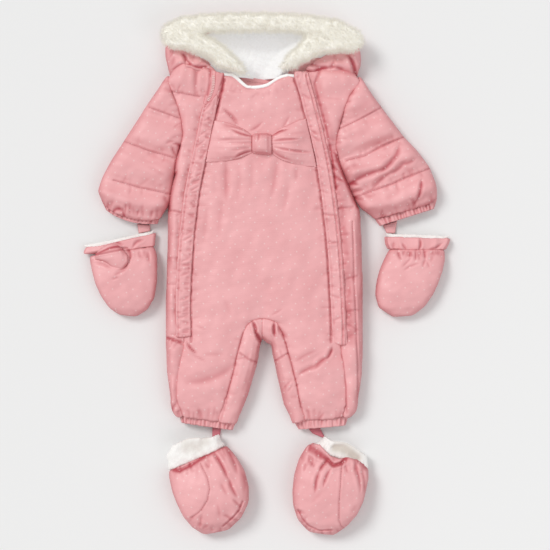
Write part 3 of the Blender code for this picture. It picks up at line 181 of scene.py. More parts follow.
# Creases pressed into the upper side of the pieces named, in mm: X and Y of both ends, how far
# the middle bows to the right of its travel, depth, half-width
FOLDS = {
    "front_body side_front_right side_front_left inner_leg_right inner_leg_left": (
        (-59.5, 164, -58, 111.5, 0, 1.3, 3.6), (-65, 110, -69.5, 58, 0, 0.8, 5),
        (14.5, 167, 6, 116, -1.4, 1, 4.4), (42, 158, 42, 138, 0, 0.7, 2.6),
        (-39, 161, -42, 110, 0, 0.5, 4), (-22, 164, -23, 124.5, 0, 0.5, 4),
        (30.5, 130.5, 24.5, 95.5, 0, 0.6, 4), (-85.5, 103, -91.5, 52, 0, 0.6, 4),
        (-64, 242, -42, 216, -2.2, 1.5, 1.8), (-56.5, 236.5, -42, 223.5, 0, 0.8, 1.5),
        (-24.5, 210, -7, 222, 1.4, 1.1, 1.8), (23, 214.5, 32, 230.5, 0, 0.8, 1.7),
        (-69.5, 269.5, -39, 265.5, 0, 0.5, 1.8), (-111.5, -153.5, -49.5, -129, 5.8, 1.6, 5.5),
        (-91.5, -113, -62.5, -113, 0, 0.6, 3), (-107.5, -113, -88.5, -123, 0, 0.7, 2),
        (-116, -96, -101.5, -112, 1, 2, 1.7), (94, -103, 86, -120, -1.4, 2, 2),
        (87, -118, 70, -132, 1.6, 1.9, 2.2), (74, -129, 45, -143, 1.6, 1.6, 2.4),
        (42, -123, 71, -107.5, -1.4, 0.7, 2.2), (7, -56.5, 22, -48, 0, 0.7, 1.6),
        (-104.5, -71, -88.5, -77, 0, 0.5, 2), (-61, -35, -51, -58, 0, 0.4, 3.5),
        (-97, 303, -104.5, 262.5, 1.4, 1.3, 2.8), (-95.5, 300, -84, 287, 0, 1.6, 1.8),
        (-129, 151, -136.5, 138, 0, 1.4, 1.6), (91.5, 162.5, 103, 151, 0, 1.4, 1.7),
        (95.5, 180, 101.5, 172.5, 0, 1.2, 1.5), (97, 145, 109, 136.5, 0, 1.4, 1.7),
        (80, 258, 106, 255, 0, 0.4, 2), (-20.5, -66, -16.5, -83, -1.4, 3, 1.7),
        (-17, -80.5, -7, -99, 0, 4, 1.9), (10.5, -68, 11.5, -87, 1, 3.2, 1.7),
        (14, -72, 30.5, -92, 0, 1.4, 2.2), (24.5, -162.5, 33.5, -152, 0, 0.8, 1.8),
        (30.5, -167, 36, -158, 0, 0.6, 1.6), (-130.5, -139, -133.5, -180, 1.4, 0.5, 1.8),
    ),
    "placket_left placket_right": (
        (-97, 168, -87, 182.5, 0, 0.8, 1.6), (-109, 135, -97, 139, 0, 0.9, 1.5),
        (-110, 123, -98.5, 130.5, 0, 0.9, 1.5), (-117.5, 59.5, -110, 64, 0, 0.7, 1.5),
        (-120.5, 51, -109, 58, 0, 0.9, 1.5), (-90, 246.5, -74, 255, 0, 1, 1.6),
        (-93, 238, -75.5, 251, 0, 1, 1.6), (-91.5, 223.5, -81, 229, 0, 0.7, 1.5),
        (-97, 203, -85.5, 211.5, 0, 0.7, 1.5), (-101.5, 187, -90, 196, 0, 0.8, 1.5),
        (-124.5, 20.5, -111.5, 26, 0, 0.6, 1.6), (-126, 0, -113, 4.5, 0, 0.7, 1.5),
        (-127.5, -35, -114.5, -30.5, 0, 0.6, 1.6), (-126, -61, -113, -55, 0, 0.7, 1.5),
        (-122, -80, -111.5, -77, 0, 0.6, 1.6), (52, 262.5, 64, 255, 0, 0.8, 1.5),
        (64, 210, 74, 204.5, 0, 1, 1.5), (66.5, 201.5, 77, 194.5, 0, 1, 1.5),
        (81, 90, 98.5, 87, 0, 0.9, 1.6), (87, 48, 101.5, 48, 0, 1, 1.5),
        (78.5, 35, 90, 39, 0, 0.8, 1.5), (71, 161, 84, 153.5, 0, 0.6, 1.6),
        (77, 124.5, 90, 119, 0, 0.6, 1.6), (91.5, 8.5, 104.5, 8.5, 0, 0.6, 1.6),
        (93, -27.5, 106, -32, 0, 0.7, 1.6), (95.5, -61, 107.5, -56.5, 0, 0.6, 1.6),
    ),
    "sleeve_right": (
        (-136.5, 191.5, -124.5, 184, -2.9, 1.6, 1.7), (-146.5, 191.5, -135, 194.5, -1.4, 1, 1.8),
        (-139, 187, -133.5, 174, 0, 1.4, 1.8), (-169.5, 156.5, -152, 145, 0, 0.6, 3),
        (-185.5, 130.5, -171, 142, 0, 0.5, 2.5), (-226, 95.5, -209, 98.5, -3, 1.8, 1.8),
        (-210, 98.5, -205, 84, -1.4, 1.8, 1.8), (-245, 123, -242, 114.5, 0, 1.2, 1.5),
        (-175.5, 178.5, -158, 174, 0, 0.5, 3), (-216, 168, -184, 153.5, 0, 0.5, 6),
        (-155, 116, -143.5, 98.5, 0, 0.6, 3),
    ),
    "sleeve_left": (
        (191, 188, 181, 166, -1.8, 2, 2.6), (183, 169, 164, 151, -1, 2.4, 3),
        (168, 154, 122, 131, 3, 2.5, 3.2), (214, 170, 194, 162, -2, 1.5, 2.6),
        (198, 164, 178, 148, -1.6, 1.8, 2.8), (181, 151, 154, 126, 2.4, 1.7, 2.8),
        (223.5, 139, 217.5, 112, -1.4, 2.2, 2), (120.5, 133.5, 136.5, 132, -1.4, 1.6, 2.2),
        (123, 122, 144.5, 124.5, 0, 1.3, 2.4), (124.5, 116, 142, 110, 0, 1.2, 2.4),
        (114.5, 152, 138, 161, -1.4, 1.1, 3.2), (138, 182.5, 178.5, 197, -2.9, 0.8, 6),
        (171, 110, 193, 124.5, 0, 0.8, 5), (217.5, 113, 210, 101.5, 0, 1.4, 2.2),
        (118, 200, 150, 214, 2, 0.7, 6), (128, 238, 150, 254, 0, 0.6, 5),
    ),
    "hood_right": (
        (-123, 322, -117, 310, -1.6, 2.4, 1.9), (-118, 312.5, -108, 307, 0.6, 2.6, 1.9),
        (-109, 307.2, -86, 305.6, 1.6, 2.4, 1.9), (-137, 299, -117, 308.5, 1.4, 2.8, 2.4),
        (-133.5, 317.5, -138, 304.5, 0, 0.9, 3), (-92, 304, -80, 293, -1, 2, 1.8),
    ),
    "hood_left": (
        (117, 320, 127.5, 285.5, -3.5, 3.6, 2.4), (74, 293.5, 90.5, 300, -1.8, 3.4, 2.6),
        (44, 296, 74, 293, 0, 2.4, 2), (68, 306, 79, 300.5, 0, 1.6, 2),
        (93, 298.5, 97, 310.5, 0, 1.5, 2.2), (55, 301.5, 84, 313, 4.3, 1, 4.5),
        (91.5, 319, 113, 313, 2.9, 0.9, 4), (91, 301, 112, 297, -2, 1.8, 2.4),
    ),
    "bow_loop_right bow_loop_left bow_knot": (
        (-22, 201.5, -51, 211.5, -1.4, 1.5, 1.5), (-23, 197, -68, 196, 0, 0.8, 1.7),
        (-24.5, 191.5, -56.5, 191.5, 0, 0.7, 1.6), (-22, 180, -45, 171, 1.4, 1.5, 1.5),
        (-24.5, 184, -51, 181, 0, 0.6, 1.8), (-45, 214.5, -65, 219, 0, 0.6, 2.5),
        (8.5, 203, 29, 211.5, -1.4, 1.5, 1.5), (8.5, 194.5, 45, 197, -0.7, 1.5, 1.3),
        (11.5, 185.5, 62.5, 179, 1.4, 1.4, 1.3), (8.5, 180, 30.5, 168, 1.4, 0.9, 1.8),
        (33.5, 204.5, 55, 207.5, 0, 0.5, 2.5), (-11.5, 204.5, -12.5, 194.5, 0, 1.1, 1.3),
        (1.5, 201.5, 1.5, 178.5, 0, 0.4, 2),
    ),
    "mitten_right mitten_thumb_right mitten_band_right": (
        (-255, 29, -203, 40.5, -1.4, 2, 1.6), (-233.5, 49.5, -210, 45, -2.9, 1.6, 1.8),
        (-194.5, 42, -180, 52, -2.9, 1.4, 1.8), (-204.5, 40.5, -200, 20.5, -4.3, 1.8, 1.8),
        (-201.5, 19, -214.5, 8.5, -2.9, 1.2, 1.8), (-249.5, 19, -225, 11.5, -1.4, 1, 1.7),
        (-223.5, -4.5, -214.5, -1.5, 0, 0.8, 1.6), (-172.5, 35, -171, 20.5, 0, 1, 1.5),
        (-242, -35, -233.5, -46.5, 0, 0.8, 1.8), (-220.5, 1.5, -204.5, 8.5, 0, 0.8, 1.8),
        (-184, 36, -182.5, 26, 0, 0.8, 1.5),
    ),
    "mitten_left mitten_band_left": (
        (216, 37.5, 214.5, 22, 0, 1.6, 1.5), (227.5, 37.5, 229, 24.5, 0, 1.7, 1.5),
        (229, 24.5, 225, 13, 0, 1, 1.5), (201.5, 39, 196, 48, 0, 1.2, 1.5),
        (222, 53.5, 220.5, 39, -1.4, 1.6, 1.6), (252.5, 46.5, 236.5, 39, -1.4, 1.2, 1.6),
        (185.5, 49.5, 184, 39, 0, 1, 1.5), (198.5, 8.5, 219, 17.5, -1.4, 0.9, 1.7),
        (196, 13, 209, 26, 0, 0.8, 1.6), (235, 11.5, 230.5, 22, 0, 0.8, 1.5),
        (190, 36, 193, 27.5, 0, 0.8, 1.5), (206, 36, 206, 27.5, 0, 0.8, 1.5),
        (240.5, 36, 242, 27.5, 0, 0.8, 1.5),
    ),
    "bootie_right": (
        (-77, -255, -56.5, -291.5, -1.4, 2.2, 1.8), (-55, -291.5, -43.5, -317.5, 1.4, 1.8, 1.8),
        (-64, -246.5, -43.5, -284, -2.9, 1.4, 2.4), (-66.5, -298.5, -58, -314.5, 0, 0.9, 2),
        (-49.5, -320.5, -37.5, -333.5, 0, 1.2, 1.8), (-71, -329, -68, -346.5, 0, 0.7, 2.2),
        (-62.5, -343.5, -52, -352.5, -1.4, 1, 2), (-94, -343.5, -97, -362.5, 0, 0.9, 1.6),
        (-88.5, -269.5, -82.5, -277, 0, 0.9, 1.6), (-39, -281.5, -33.5, -310.5, -2.9, 0.8, 2.5),
        (-111.5, -269.5, -109, -278.5, 0, 1.2, 1.6), (-126, -272.5, -124.5, -281.5, 0, 1.2, 1.6),
    ),
    "bootie_left": (
        (88.5, -267, 75.5, -281.5, 1.4, 2.4, 1.8), (75.5, -281.5, 69.5, -310.5, 1.4, 2, 1.8),
        (91.5, -278.5, 81, -303, 1.4, 1.8, 1.7), (124.5, -272.5, 133.5, -310.5, -2.9, 1.5, 1.9),
        (113, -275.5, 116, -284, 0, 1, 1.5), (61, -262.5, 68, -275.5, 0, 1.4, 1.7),
        (56.5, -269.5, 53.5, -281.5, 0, 1, 1.6), (136.5, -281.5, 139, -310.5, -1.4, 1, 2),
        (42, -339.5, 52, -338, 0, 1, 1.6), (51, -359.5, 61, -370, 0, 1.2, 1.6),
        (80, -368.5, 81, -378.5, 0, 1.4, 1.6), (65, -325, 77, -313, 0, 0.5, 3),
        (129, -329, 120.5, -342, 0, 0.5, 3),
    ),
}
# Seams and quilt lines that more than one table uses, in mm
PATHS = {
    "bootie_right_seam": ((-95.5, -271), (-85.5, -290), (-82.5, -306), (-85.5, -322),
                          (-95.5, -338), (-109, -348)),
    "bootie_left_seam": ((107.5, -272.5), (106, -296), (103.5, -325), (103.5, -351),
                         (106.5, -359.5), (113, -367)),
    "side_left_line": ((123, 78.5), (124.5, 37.5), (125.5, -6), (127.5, -49.5), (129, -93),
                       (131, -136.5), (130.5, -174)),
    "chest_right": ((-137.5, 267), (-97, 259.5)),
    "waist_right": ((-143, 96), (-118, 91)),
    "knee_left": ((113, -68), (131, -78)),
    "sleeve_right_high": ((-170, 244), (-148, 236), (-126, 228)),
    "sleeve_right_middle": ((-212, 197), (-170, 181), (-136, 171)),
    "sleeve_right_low": ((-222, 139), (-184, 128), (-140, 118)),
    "sleeve_left_high": ((103, 212), (142, 231), (170, 247)),
    "sleeve_left_middle": ((116, 167), (142, 174), (164, 187), (204, 204)),
    "sleeve_left_low": ((130, 114), (157, 125), (178, 132), (200, 142), (238, 157)),
    "sleeve_right_hem": ((-243, 104), (-215, 97), (-160, 88)),
    "sleeve_left_hem": ((166, 82), (200, 94), (240, 112)),
}
# The zips from neck to leg and the bare teeth at the right neck, in mm
ZIP_RIGHT = ((-73.5, 284), (-79, 261), (-83, 244), (-87, 225), (-91, 204), (-95, 186), (-99, 168),
             (-104, 146), (-109, 119), (-112, 96), (-116, 62), (-118.5, 28), (-120.5, -5),
             (-121.5, -35), (-121, -67), (-121, -95))
ZIP_LEFT = ((51, 284), (59, 261), (63, 244), (68, 225), (73, 204), (77, 186), (81, 168), (85, 146),
            (89, 119), (92, 96), (96, 62), (99, 28), (101, -5), (102.5, -35), (104, -67),
            (104, -95))
TEETH = ((-77.5, 289), (-77, 280), (-78.5, 270), (-82, 260), (-86, 252))
# Seams that draw the cloth into short puckers, in mm: pieces, the line, spacing of the puckers,
# shortest and longest, depth, and the sides it draws: -1 left of its travel, 1 right, 0 both
PUCKERS = (
    ("front_body", beside(ZIP_RIGHT, 10), 9, 6, 22, 0.55, -1),
    ("front_body", beside(ZIP_LEFT, -10), 9, 6, 22, 0.55, 1),
    ("placket_right", beside(ZIP_RIGHT, 8.5), 3.5, 6, 16, 1, 1),
    ("placket_right", beside(ZIP_RIGHT, -8.5), 7, 4, 10, 0.8, -1),
    ("placket_left", beside(ZIP_LEFT, 8.5), 7, 4, 9, 0.5, 1),
    ("placket_left", beside(ZIP_LEFT, -8.5), 8, 4, 9, 0.6, -1),
    ("side_front_right", beside(ZIP_RIGHT, -10), 9, 6, 16, 0.6, 1),
    ("side_front_left", beside(ZIP_LEFT, 10), 9, 6, 18, 0.6, -1),
    ("side_front_right", PATHS["chest_right"], 6, 5, 14, 0.7, 0),
    ("side_front_right", ((-140.5, 96), (-120, 91)), 5, 5, 14, 0.7, 0),
    ("side_front_right", ((-141, 26), (-120, 26)), 6, 5, 12, 0.6, 0),
    ("side_front_right", ((-147, -89), (-135, -92), (-121, -98)), 4, 6, 14, 0.9, 0),
    ("side_front_left", ((90, 96), (122, 100)), 5, 5, 14, 0.7, 0),
    ("side_front_left", ((108, -7), (128, 0)), 5, 5, 14, 0.7, 0),
    ("side_front_left", ((106, -52), (131, -49)), 5, 5, 12, 0.6, 0),
    ("side_front_left", PATHS["knee_left"], 5, 5, 12, 0.5, 0),
    ("front_body", ((-60, 286), (-41, 273), (-28, 270), (-10, 267), (10, 272), (30, 280)),
     7, 6, 20, 0.5, 1),
    ("sleeve_right", PATHS["sleeve_right_high"], 7, 6, 18, 0.5, 0),
    ("sleeve_right", ((-204, 194), (-170, 181), (-138, 171)), 7, 6, 18, 0.5, 0),
    ("sleeve_right", ((-213, 136), (-184, 128), (-142, 119)), 7, 6, 18, 0.5, 0),
    ("sleeve_right", ((-145, 287), (-140, 269), (-126, 240), (-122, 219), (-123, 194)),
     8, 6, 18, 0.7, 1),
    ("sleeve_right", PATHS["sleeve_right_hem"], 5, 5, 14, 1.3, -1),
    ("sleeve_left", ((106, 213), (142, 231), (164, 244)), 9, 6, 18, 0.35, 0),
    ("sleeve_left", ((120, 168), (142, 174), (164, 187), (196, 200)), 7, 6, 20, 0.6, 0),
    ("sleeve_left", ((135, 116), (157, 125), (178, 132), (200, 142), (232, 154)),
     6, 6, 18, 0.8, 0),
    ("sleeve_left", ((130, 280), (119, 262), (107, 233), (101, 204), (100, 182)),
     8, 6, 18, 0.7, -1),
    ("sleeve_left", PATHS["sleeve_left_hem"], 5, 8, 22, 0.9, -1),
    ("hood_right", ((-140, 328), (-120, 326), (-103, 320), (-90, 312), (-84, 305)),
     6, 6, 18, 0.8, 1),
    ("hood_left", ((48, 304), (62, 318), (80, 326), (106, 328), (131, 320)), 6, 6, 18, 0.8, 1),
    ("front_body side_front_right", ((-136, -199), (-50, -210)), 4, 8, 20, 1.1, -1),
    ("front_body side_front_left", ((42, -206), (114, -204)), 4, 8, 20, 1.1, -1),
    ("inner_leg_right front_body", ((-65, -204), (-59, -180), (-52, -151), (-42, -107),
                                    (-35, -82)), 8, 5, 14, 0.6, 0),
    ("inner_leg_left front_body", ((22, -85), (29, -107), (39, -154), (48, -187)),
     8, 5, 14, 0.6, 0),
    ("inner_leg_right", ((-39, -112), (-26, -120), (-13, -126)), 5, 5, 12, 0.6, 0),
    ("inner_leg_left", ((13, -122), (30, -112)), 5, 5, 12, 0.6, 0),
    ("mitten_right", ((-255, 24), (-203, 34)), 5, 6, 16, 0.5, 1),
    ("mitten_right", ((-202, 36), (-170, 36)), 4, 6, 18, 0.7, 1),
    ("mitten_left", ((180, 36), (258, 36)), 4, 5, 18, 1.2, 1),
    ("bootie_right", ((-137, -280), (-112, -276), (-95, -269), (-78, -258), (-64, -246)),
     5, 8, 24, 0.8, 1),
    ("bootie_right", ((-112, -352), (-90, -366), (-70, -372), (-50, -362), (-34, -342)),
     5, 6, 14, 0.8, -1),
    ("bootie_left", ((52, -258), (76, -262), (104, -265), (118, -262), (140, -280)),
     5, 8, 22, 0.8, 1),
    ("bootie_left", ((42, -340), (54, -364), (71, -371), (92, -375), (120, -370), (140, -350)),
     5, 6, 14, 0.8, -1),
)
# Seams that hardly show, where the painted shade is mostly taken away, in mm: pieces, the line, and
# how far to each side
FAINT = (
    ("side_front_right front_body", ((-121, -96), (-121, -150), (-120, -206)), 4),
)
# Bands gathered on elastic, in mm: both ends of the band, how far across it, spacing and depth
GATHERS = {
    "ankle_cuff_right": (-134, -206, -50, -217, 11, 5.2, 1),
    "ankle_cuff_left": (36, -209, 116, -208, 11, 5.2, 1),
    "sleeve_cuff_right": (-238, 100, -160, 84, 11, 6.5, 1.5),
    "sleeve_cuff_left": (168, 80, 248, 110, 11, 6, 1.3),
}
# Lines pressed in along sewn seams and edges, in mm: pieces, the line, depth, half-width, and
# how high the piping stands beside it
SEAMS = (
    ("placket_left", beside(ZIP_LEFT, 5.5), 0.5, 1, 1.4),
    ("side_front_left", ((86, 300), (80, 291), (69, 276), (75, 254), (79, 240), (85, 216),
                         (90, 194), (94, 172), (97, 150), (100, 125)), 1.7, 1.5, 0),
    ("side_front_left", ((73, 276), (79, 254), (84, 238), (90, 216), (95, 196)), 0.8, 4.5, 0.3),
    ("front_body", beside(ZIP_LEFT, -11.5), 1.9, 1.5, 0.5),
    ("front_body", beside(ZIP_RIGHT, 11.5)[:6], 2.6, 2, 0.6),
    ("front_body", beside(ZIP_RIGHT, 11.5)[5:], 1.8, 1.4, 0.5),
    ("zip_tape_right", ((-62, 287), (-67, 271), (-70, 260), (-77, 252), (-86, 245)), 2.4, 1.8, 0),
    ("zip_tape_right", beside(TEETH, 1.2), 1.3, 2, 0),
    ("zip_tape_right side_front_right", ((-82, 290), (-83, 276), (-86, 262)), 1.6, 1.3, 0.4),
    ("side_front_right", ((-148, -89), (-135, -92), (-121, -98)), 2, 1.7, 0.8),
    ("bootie_right", ((-143, -279), (-126, -282), (-108, -273), (-90, -262), (-66, -248)),
     2.6, 2.2, 0.6),
    ("bootie_left", ((62, -255), (74, -262), (86, -266), (96, -274), (106, -272), (120, -268),
                     (131, -274), (142, -280)), 2.8, 2, 1.6),
    ("bootie_collar_left", ((98, -252), (112, -256), (130, -265)), 3.4, 6, 0),
    ("bootie_collar_right", ((-118, -254), (-100, -252), (-88, -243)), 1.4, 6, 0.8),
    ("sleeve_left", ((164, 81), (200, 93), (242, 112)), 2, 1.8, 0.6),
    ("sleeve_left side_front_left", ((101, 172), (112, 140), (131, 100)), 2.2, 2.4, 0.3),
    ("sleeve_right side_front_right", ((-126, 188), (-133, 160), (-137, 130), (-141, 96)),
     2.2, 2.4, 0.3),
    ("side_front_left", beside(ZIP_LEFT, 17)[5:], 1, 7, 0),
    ("placket_left", beside(ZIP_LEFT, -7.5), 0.4, 1, 0.3),
    ("placket_right", beside(ZIP_RIGHT, -7), 0.6, 1, 0.3),
    ("side_front_left", PATHS["side_left_line"], 0.85, 1.2, 0.5),
    ("side_front_left", ((106, -110), (110, -129), (114, -158), (114.5, -197)), 0.9, 1.2, 0.4),
    ("side_front_right", PATHS["chest_right"], 0.8, 1.4, 0.3),
    ("side_front_right", PATHS["waist_right"], 1, 1.4, 0.3),
    ("side_front_right", ((-143, 26), (-118, 26)), 0.7, 1.4, 0.3),
    ("side_front_left", ((88, 96), (124, 100)), 1, 1.4, 0.3),
    ("side_front_left", ((106, -7), (130, 0)), 0.9, 1.4, 0.3),
    ("side_front_left", ((106, -52), (132, -49)), 0.8, 1.4, 0.3),
    ("side_front_left", PATHS["knee_left"], 0.7, 1.4, 0.3),
    ("sleeve_right", PATHS["sleeve_right_high"], 0.9, 1.3, 0.4),
    ("sleeve_right", PATHS["sleeve_right_middle"], 0.9, 1.3, 0.4),
    ("sleeve_right", PATHS["sleeve_right_low"], 0.9, 1.3, 0.4),
    ("sleeve_left", PATHS["sleeve_left_high"], 0.9, 1.3, 0.4),
    ("sleeve_left", PATHS["sleeve_left_middle"], 1.1, 1.4, 0.5),
    ("sleeve_left", PATHS["sleeve_left_low"], 1.1, 1.4, 0.5),
    ("mitten_thumb_right", ((-256, 28.3), (-238.5, 31.5), (-220, 34.3), (-206, 37)),
     1.4, 1.2, 0.6),
    ("bootie_right", PATHS["bootie_right_seam"], 1, 1.3, 0.4),
    ("bootie_left", PATHS["bootie_left_seam"], 1, 1.3, 0.4),
    ("bootie_right", ((-36, -325), (-41, -337), (-51, -349), (-64, -360)), 1.7, 1.2, 0.4),
    ("bootie_left", ((46, -337), (52, -350), (61, -360), (76, -367), (94, -366)), 1.5, 1.2, 0.4),
    ("inner_leg_right", ((-39, -111.5), (-26, -120.5), (-13, -126)), 1.4, 1.3, 0.4),
    ("inner_leg_left", ((13, -122), (30.5, -111.5)), 1.4, 1.3, 0.4),
    ("inner_leg_right front_body", ((-66, -206), (-59, -180), (-52, -151), (-42, -107),
                                    (-35, -82)), 0.9, 1.3, 0.3),
    ("inner_leg_left front_body", ((22, -85), (27, -98), (31, -112), (37.3, -133), (41, -148),
                                   (45.5, -171), (49, -190)), 0.9, 1.3, 0.3),
)
# Where cloth is pulled over its neighbour, in mm: the piece's edge, the side of it that the piece
# is on (1 above, -1 below), how far in it is drawn, its reach at each X, and how far it lifts
OVERLAPS = (
    ("side_front_right", ((-147, 288), (-60, 288)), -1, 26, ((-147, 0), (-139, 2), (-126, 12),
                                                             (-114, 19), (-104, 16), (-92, 15),
                                                             (-78, 8), (-66, 4)), 1.5),
    ("side_front_right", ((-146, -198), (-119, -203)), 1, 9, ((-146, -2), (-119, -3)), 0.4),
    ("side_front_left", ((50, 288), (132, 288)), -1, 24, ((50, 9), (62, 11), (86, 12), (106, 10),
                                                          (120, 6), (132, 0)), 1.5),
    ("side_front_left", ((103, -205), (122, -204)), 1, 9, ((103, -3), (122, -2)), 0.4),
    ("placket_right", ((-92, 248), (-71, 248)), -1, 22, ((-92, -3), (-84, 2), (-74, 12),
                                                         (-71, 13)), 0.6),
    ("zip_tape_right", ((-92, 288), (-62, 288)), -1, 22, ((-92, 9), (-78, 7), (-62, 3)), 1.5),
    ("hood_lining", ((-127, 356), (115, 356)), -1, 24, ((-127, 8), (115, 8)), 3),
    ("placket_left", ((90, -88), (116, -88)), 1, 60, ((90, -11), (116, -11)), 0.5),
    ("placket_left", ((38, 287), (64, 287)), -1, 24, ((38, 9), (64, 7)), 1),
    ("neck_facing", ((-38, 285), (26, 285)), -1, 11, ((-38, 6), (26, 6)), 4),
    ("bootie_collar_right", ((-147, -262), (-66, -231)), -1, 24, ((-147, 5), (-66, 4)), 0.5),
    ("front_body", ((-120, -203), (-60, -209), (0, -209), (50, -206), (105, -205)), 1, 9,
     ((-120, -3), (105, -3)), 0.4),
    ("inner_leg_right", ((-71, -208), (-50, -211)), 1, 9, ((-71, -3), (-50, -3)), 0.4),
    ("inner_leg_left", ((38, -206), (56, -207)), 1, 9, ((38, -3), (56, -3)), 0.4),
    ("sleeve_right", PATHS["sleeve_right_hem"], 1, 9, ((-243, -3), (-160, -3)), 0.3),
    ("sleeve_left", PATHS["sleeve_left_hem"], 1, 9, ((166, -3), (240, -3)), 0.3),
    ("bootie_left", ((55, -251), (148, -278)), -1, 15, ((55, 1), (66, 8), (76, 11), (92, 1),
                                                        (104, 1), (117, 8), (130, 10), (140, 7),
                                                        (147, 0)), 2),
)
# Where cloth leans on the piece beside it, in mm: centre, reach across and along, and the shift
LEANS = (
    ("sleeve_right", -143, 283, 11, 9, 2, 5, 0), ("sleeve_right", -150, 128, 22, 38, 4.5, 0, 0),
    ("sleeve_right", -148, 170, 14, 20, 2, 0, 0), ("sleeve_left", 130, 282, 11, 9, -2, 5, 0),
    ("sleeve_left", 134, 138, 22, 34, -4, 0, 0), ("sleeve_left", 122, 162, 14, 20, -2, 0, 0),
    ("side_front_right", -141, 125, 12, 42, -2, 0, 0),
    ("side_front_right", -122, -150, 7, 48, 1.3, 0, 0),
    ("side_front_right", -137, -196, 11, 12, -4, -3.5, 0),
    ("side_front_right", -98, 307, 12, 8, 0, -5, -1),
    ("front_body", -118, -150, 7, 48, -1.3, 0, 0), ("front_body", -16, 272, 22, 10, 0, -3, 0),
    ("front_body", -33, 277, 12, 10, 0, -3, 0), ("front_body", 2, 274, 12, 10, 0, -1, 0),
    ("side_front_left", 118, 140, 12, 40, 1.5, 0, 0),
    ("side_front_left", 127, -195, 11, 12, 4, -3.5, 0),
    ("back_body", -137, -196, 11, 12, -3.5, -3, 0), ("back_body", 127, -195, 11, 12, 3.5, -3, 0),
    ("back_body", -141, 286, 10, 8, 0, 2, 9), ("back_body", 133, 286, 10, 8, 0, 2, 9),
    ("hood_fur", 50, 300, 22, 18, -5, 1, 0), ("hood_fur", -92, 304, 24, 14, 3, 9, 0),
    ("hood_fur", -118, 320, 18, 12, 0, 4, 0), ("hood_right", -98, 310, 17, 11, 0, -4, 6),
    ("hood_right", -8, 368, 11, 22, 5, 0, 0), ("hood_right", -141, 291, 12, 9, -1, -6, 0),
    ("mitten_thumb_right", -244, 14, 18, 10, 0, 5, -8),
    ("mitten_thumb_right", -214, 10, 11, 8, 0, -5, -3),
    ("mitten_thumb_right", -226, 41, 20, 8, 0, 5, 0),
    ("mitten_band_right", -258, 30, 12, 14, -8, 3, 0),
    ("mitten_lining_right", -260, 36, 14, 12, -9, 1, 0),
    ("mitten_band_left", 178, 47, 8, 9, -3, 0, 0), ("mitten_band_left", 259, 48, 7, 8, 3, 2, 0),
    ("mitten_band_left", 218, 44, 30, 7, 0, -1, 2),
    ("bootie_collar_right", -149, -250, 8, 8, 6, -4, 0),
    ("bootie_collar_right", -145, -272, 7, 6, 2, 2, 0),
    ("bootie_collar_right", -114, -242, 24, 14, 0, 7, 2),
    ("bootie_collar_right", -62, -238, 9, 9, -5, 0, 0),
    ("neck_binding", -16, 272, 22, 14, 0, -3, 0), ("neck_binding", -33, 280, 12, 11, 0, -3, 0),
    ("neck_binding", 2, 276, 12, 11, 0, -1, 0),
    ("bootie_collar_left", 118, -250, 24, 13, 0, 8, 0),
    ("bootie_collar_left", 71, -242, 15, 12, 13, 1, 0), ("hood_left", 52, 298, 24, 16, -13, 3, 5),
    ("hood_left", 78, 306, 26, 14, 0, 1, 4), ("hood_left", -6, 368, 11, 22, -5, 0, 0),
    ("hood_left", 132, 291, 12, 9, 1, -6, 0),
)
# Cloth that rises from its solid to its neighbour: the edge that it rises to, in mm, travelled
# with the piece on the right, how far in the rise starts, and its height; it falls off beyond
RISES = {
    "hood_lining": (((-36, 280), (-90, 348), (55, 348), (11, 280)), 24, 15.5),
    "neck_facing": (((60, 271), (-60, 271)), 14, 13),
}
# Walls so thin that they are first made fuller, in mm; their swell is that much less
THIN_WALLS = {"hood_right": 0.7, "hood_left": 0.7}
# Quilt lines across the flat back, in mm
BACK_LINES = (261, 186, 96, -5, -88, -142)
# The soft swells of each padded cloth: height and size of the humps in mm, step of the seed
SHELL_SWELLS = ((0.55, 34, 0), (0.22, 13, 7))
PILE_SWELLS = ((0.45, 9, 0), (0.2, 4, 3))
SWELLS = {"shell": SHELL_SWELLS, "bow": SHELL_SWELLS, "fleece": PILE_SWELLS,
          "hood_pile": PILE_SWELLS}
# Topstitched seams and quilt lines
STITCHED = (
    ("side_front_left", PATHS["side_left_line"]),
    ("neck_facing", ((-28, 283), (-10, 280.5), (10, 278.5), (16, 278.5))),
    *((f"sleeve_{side}", PATHS[f"sleeve_{side}_{row}"])
      for side in ("right", "left") for row in ("high", "middle", "low")),
    ("side_front_right", PATHS["waist_right"]),
    ("side_front_right", PATHS["chest_right"]),
    ("bootie_right", PATHS["bootie_right_seam"]),
    ("bootie_left", PATHS["bootie_left_seam"]),
)


# ---------------------------------------------------------------- cloth
def rows_for(table, node):
    """The rows of a table that name one piece, without the names."""
    return [row[1:] for row in table if node in row[0].split()]


def soft_noise(points, size, seed):
    """A gentle, uneven swell over points, about -1 to 1, with humps about size mm across."""
    rng = np.random.default_rng(seed)
    total = np.zeros(len(points))
    for _ in range(10):
        way = rng.normal(size=2)
        way /= np.linalg.norm(way)
        pitch = size * rng.uniform(0.75, 1.6)
        total += np.sin(points @ way * 2 * math.pi / pitch + rng.uniform(0, 2 * math.pi))
    return total / 3.2


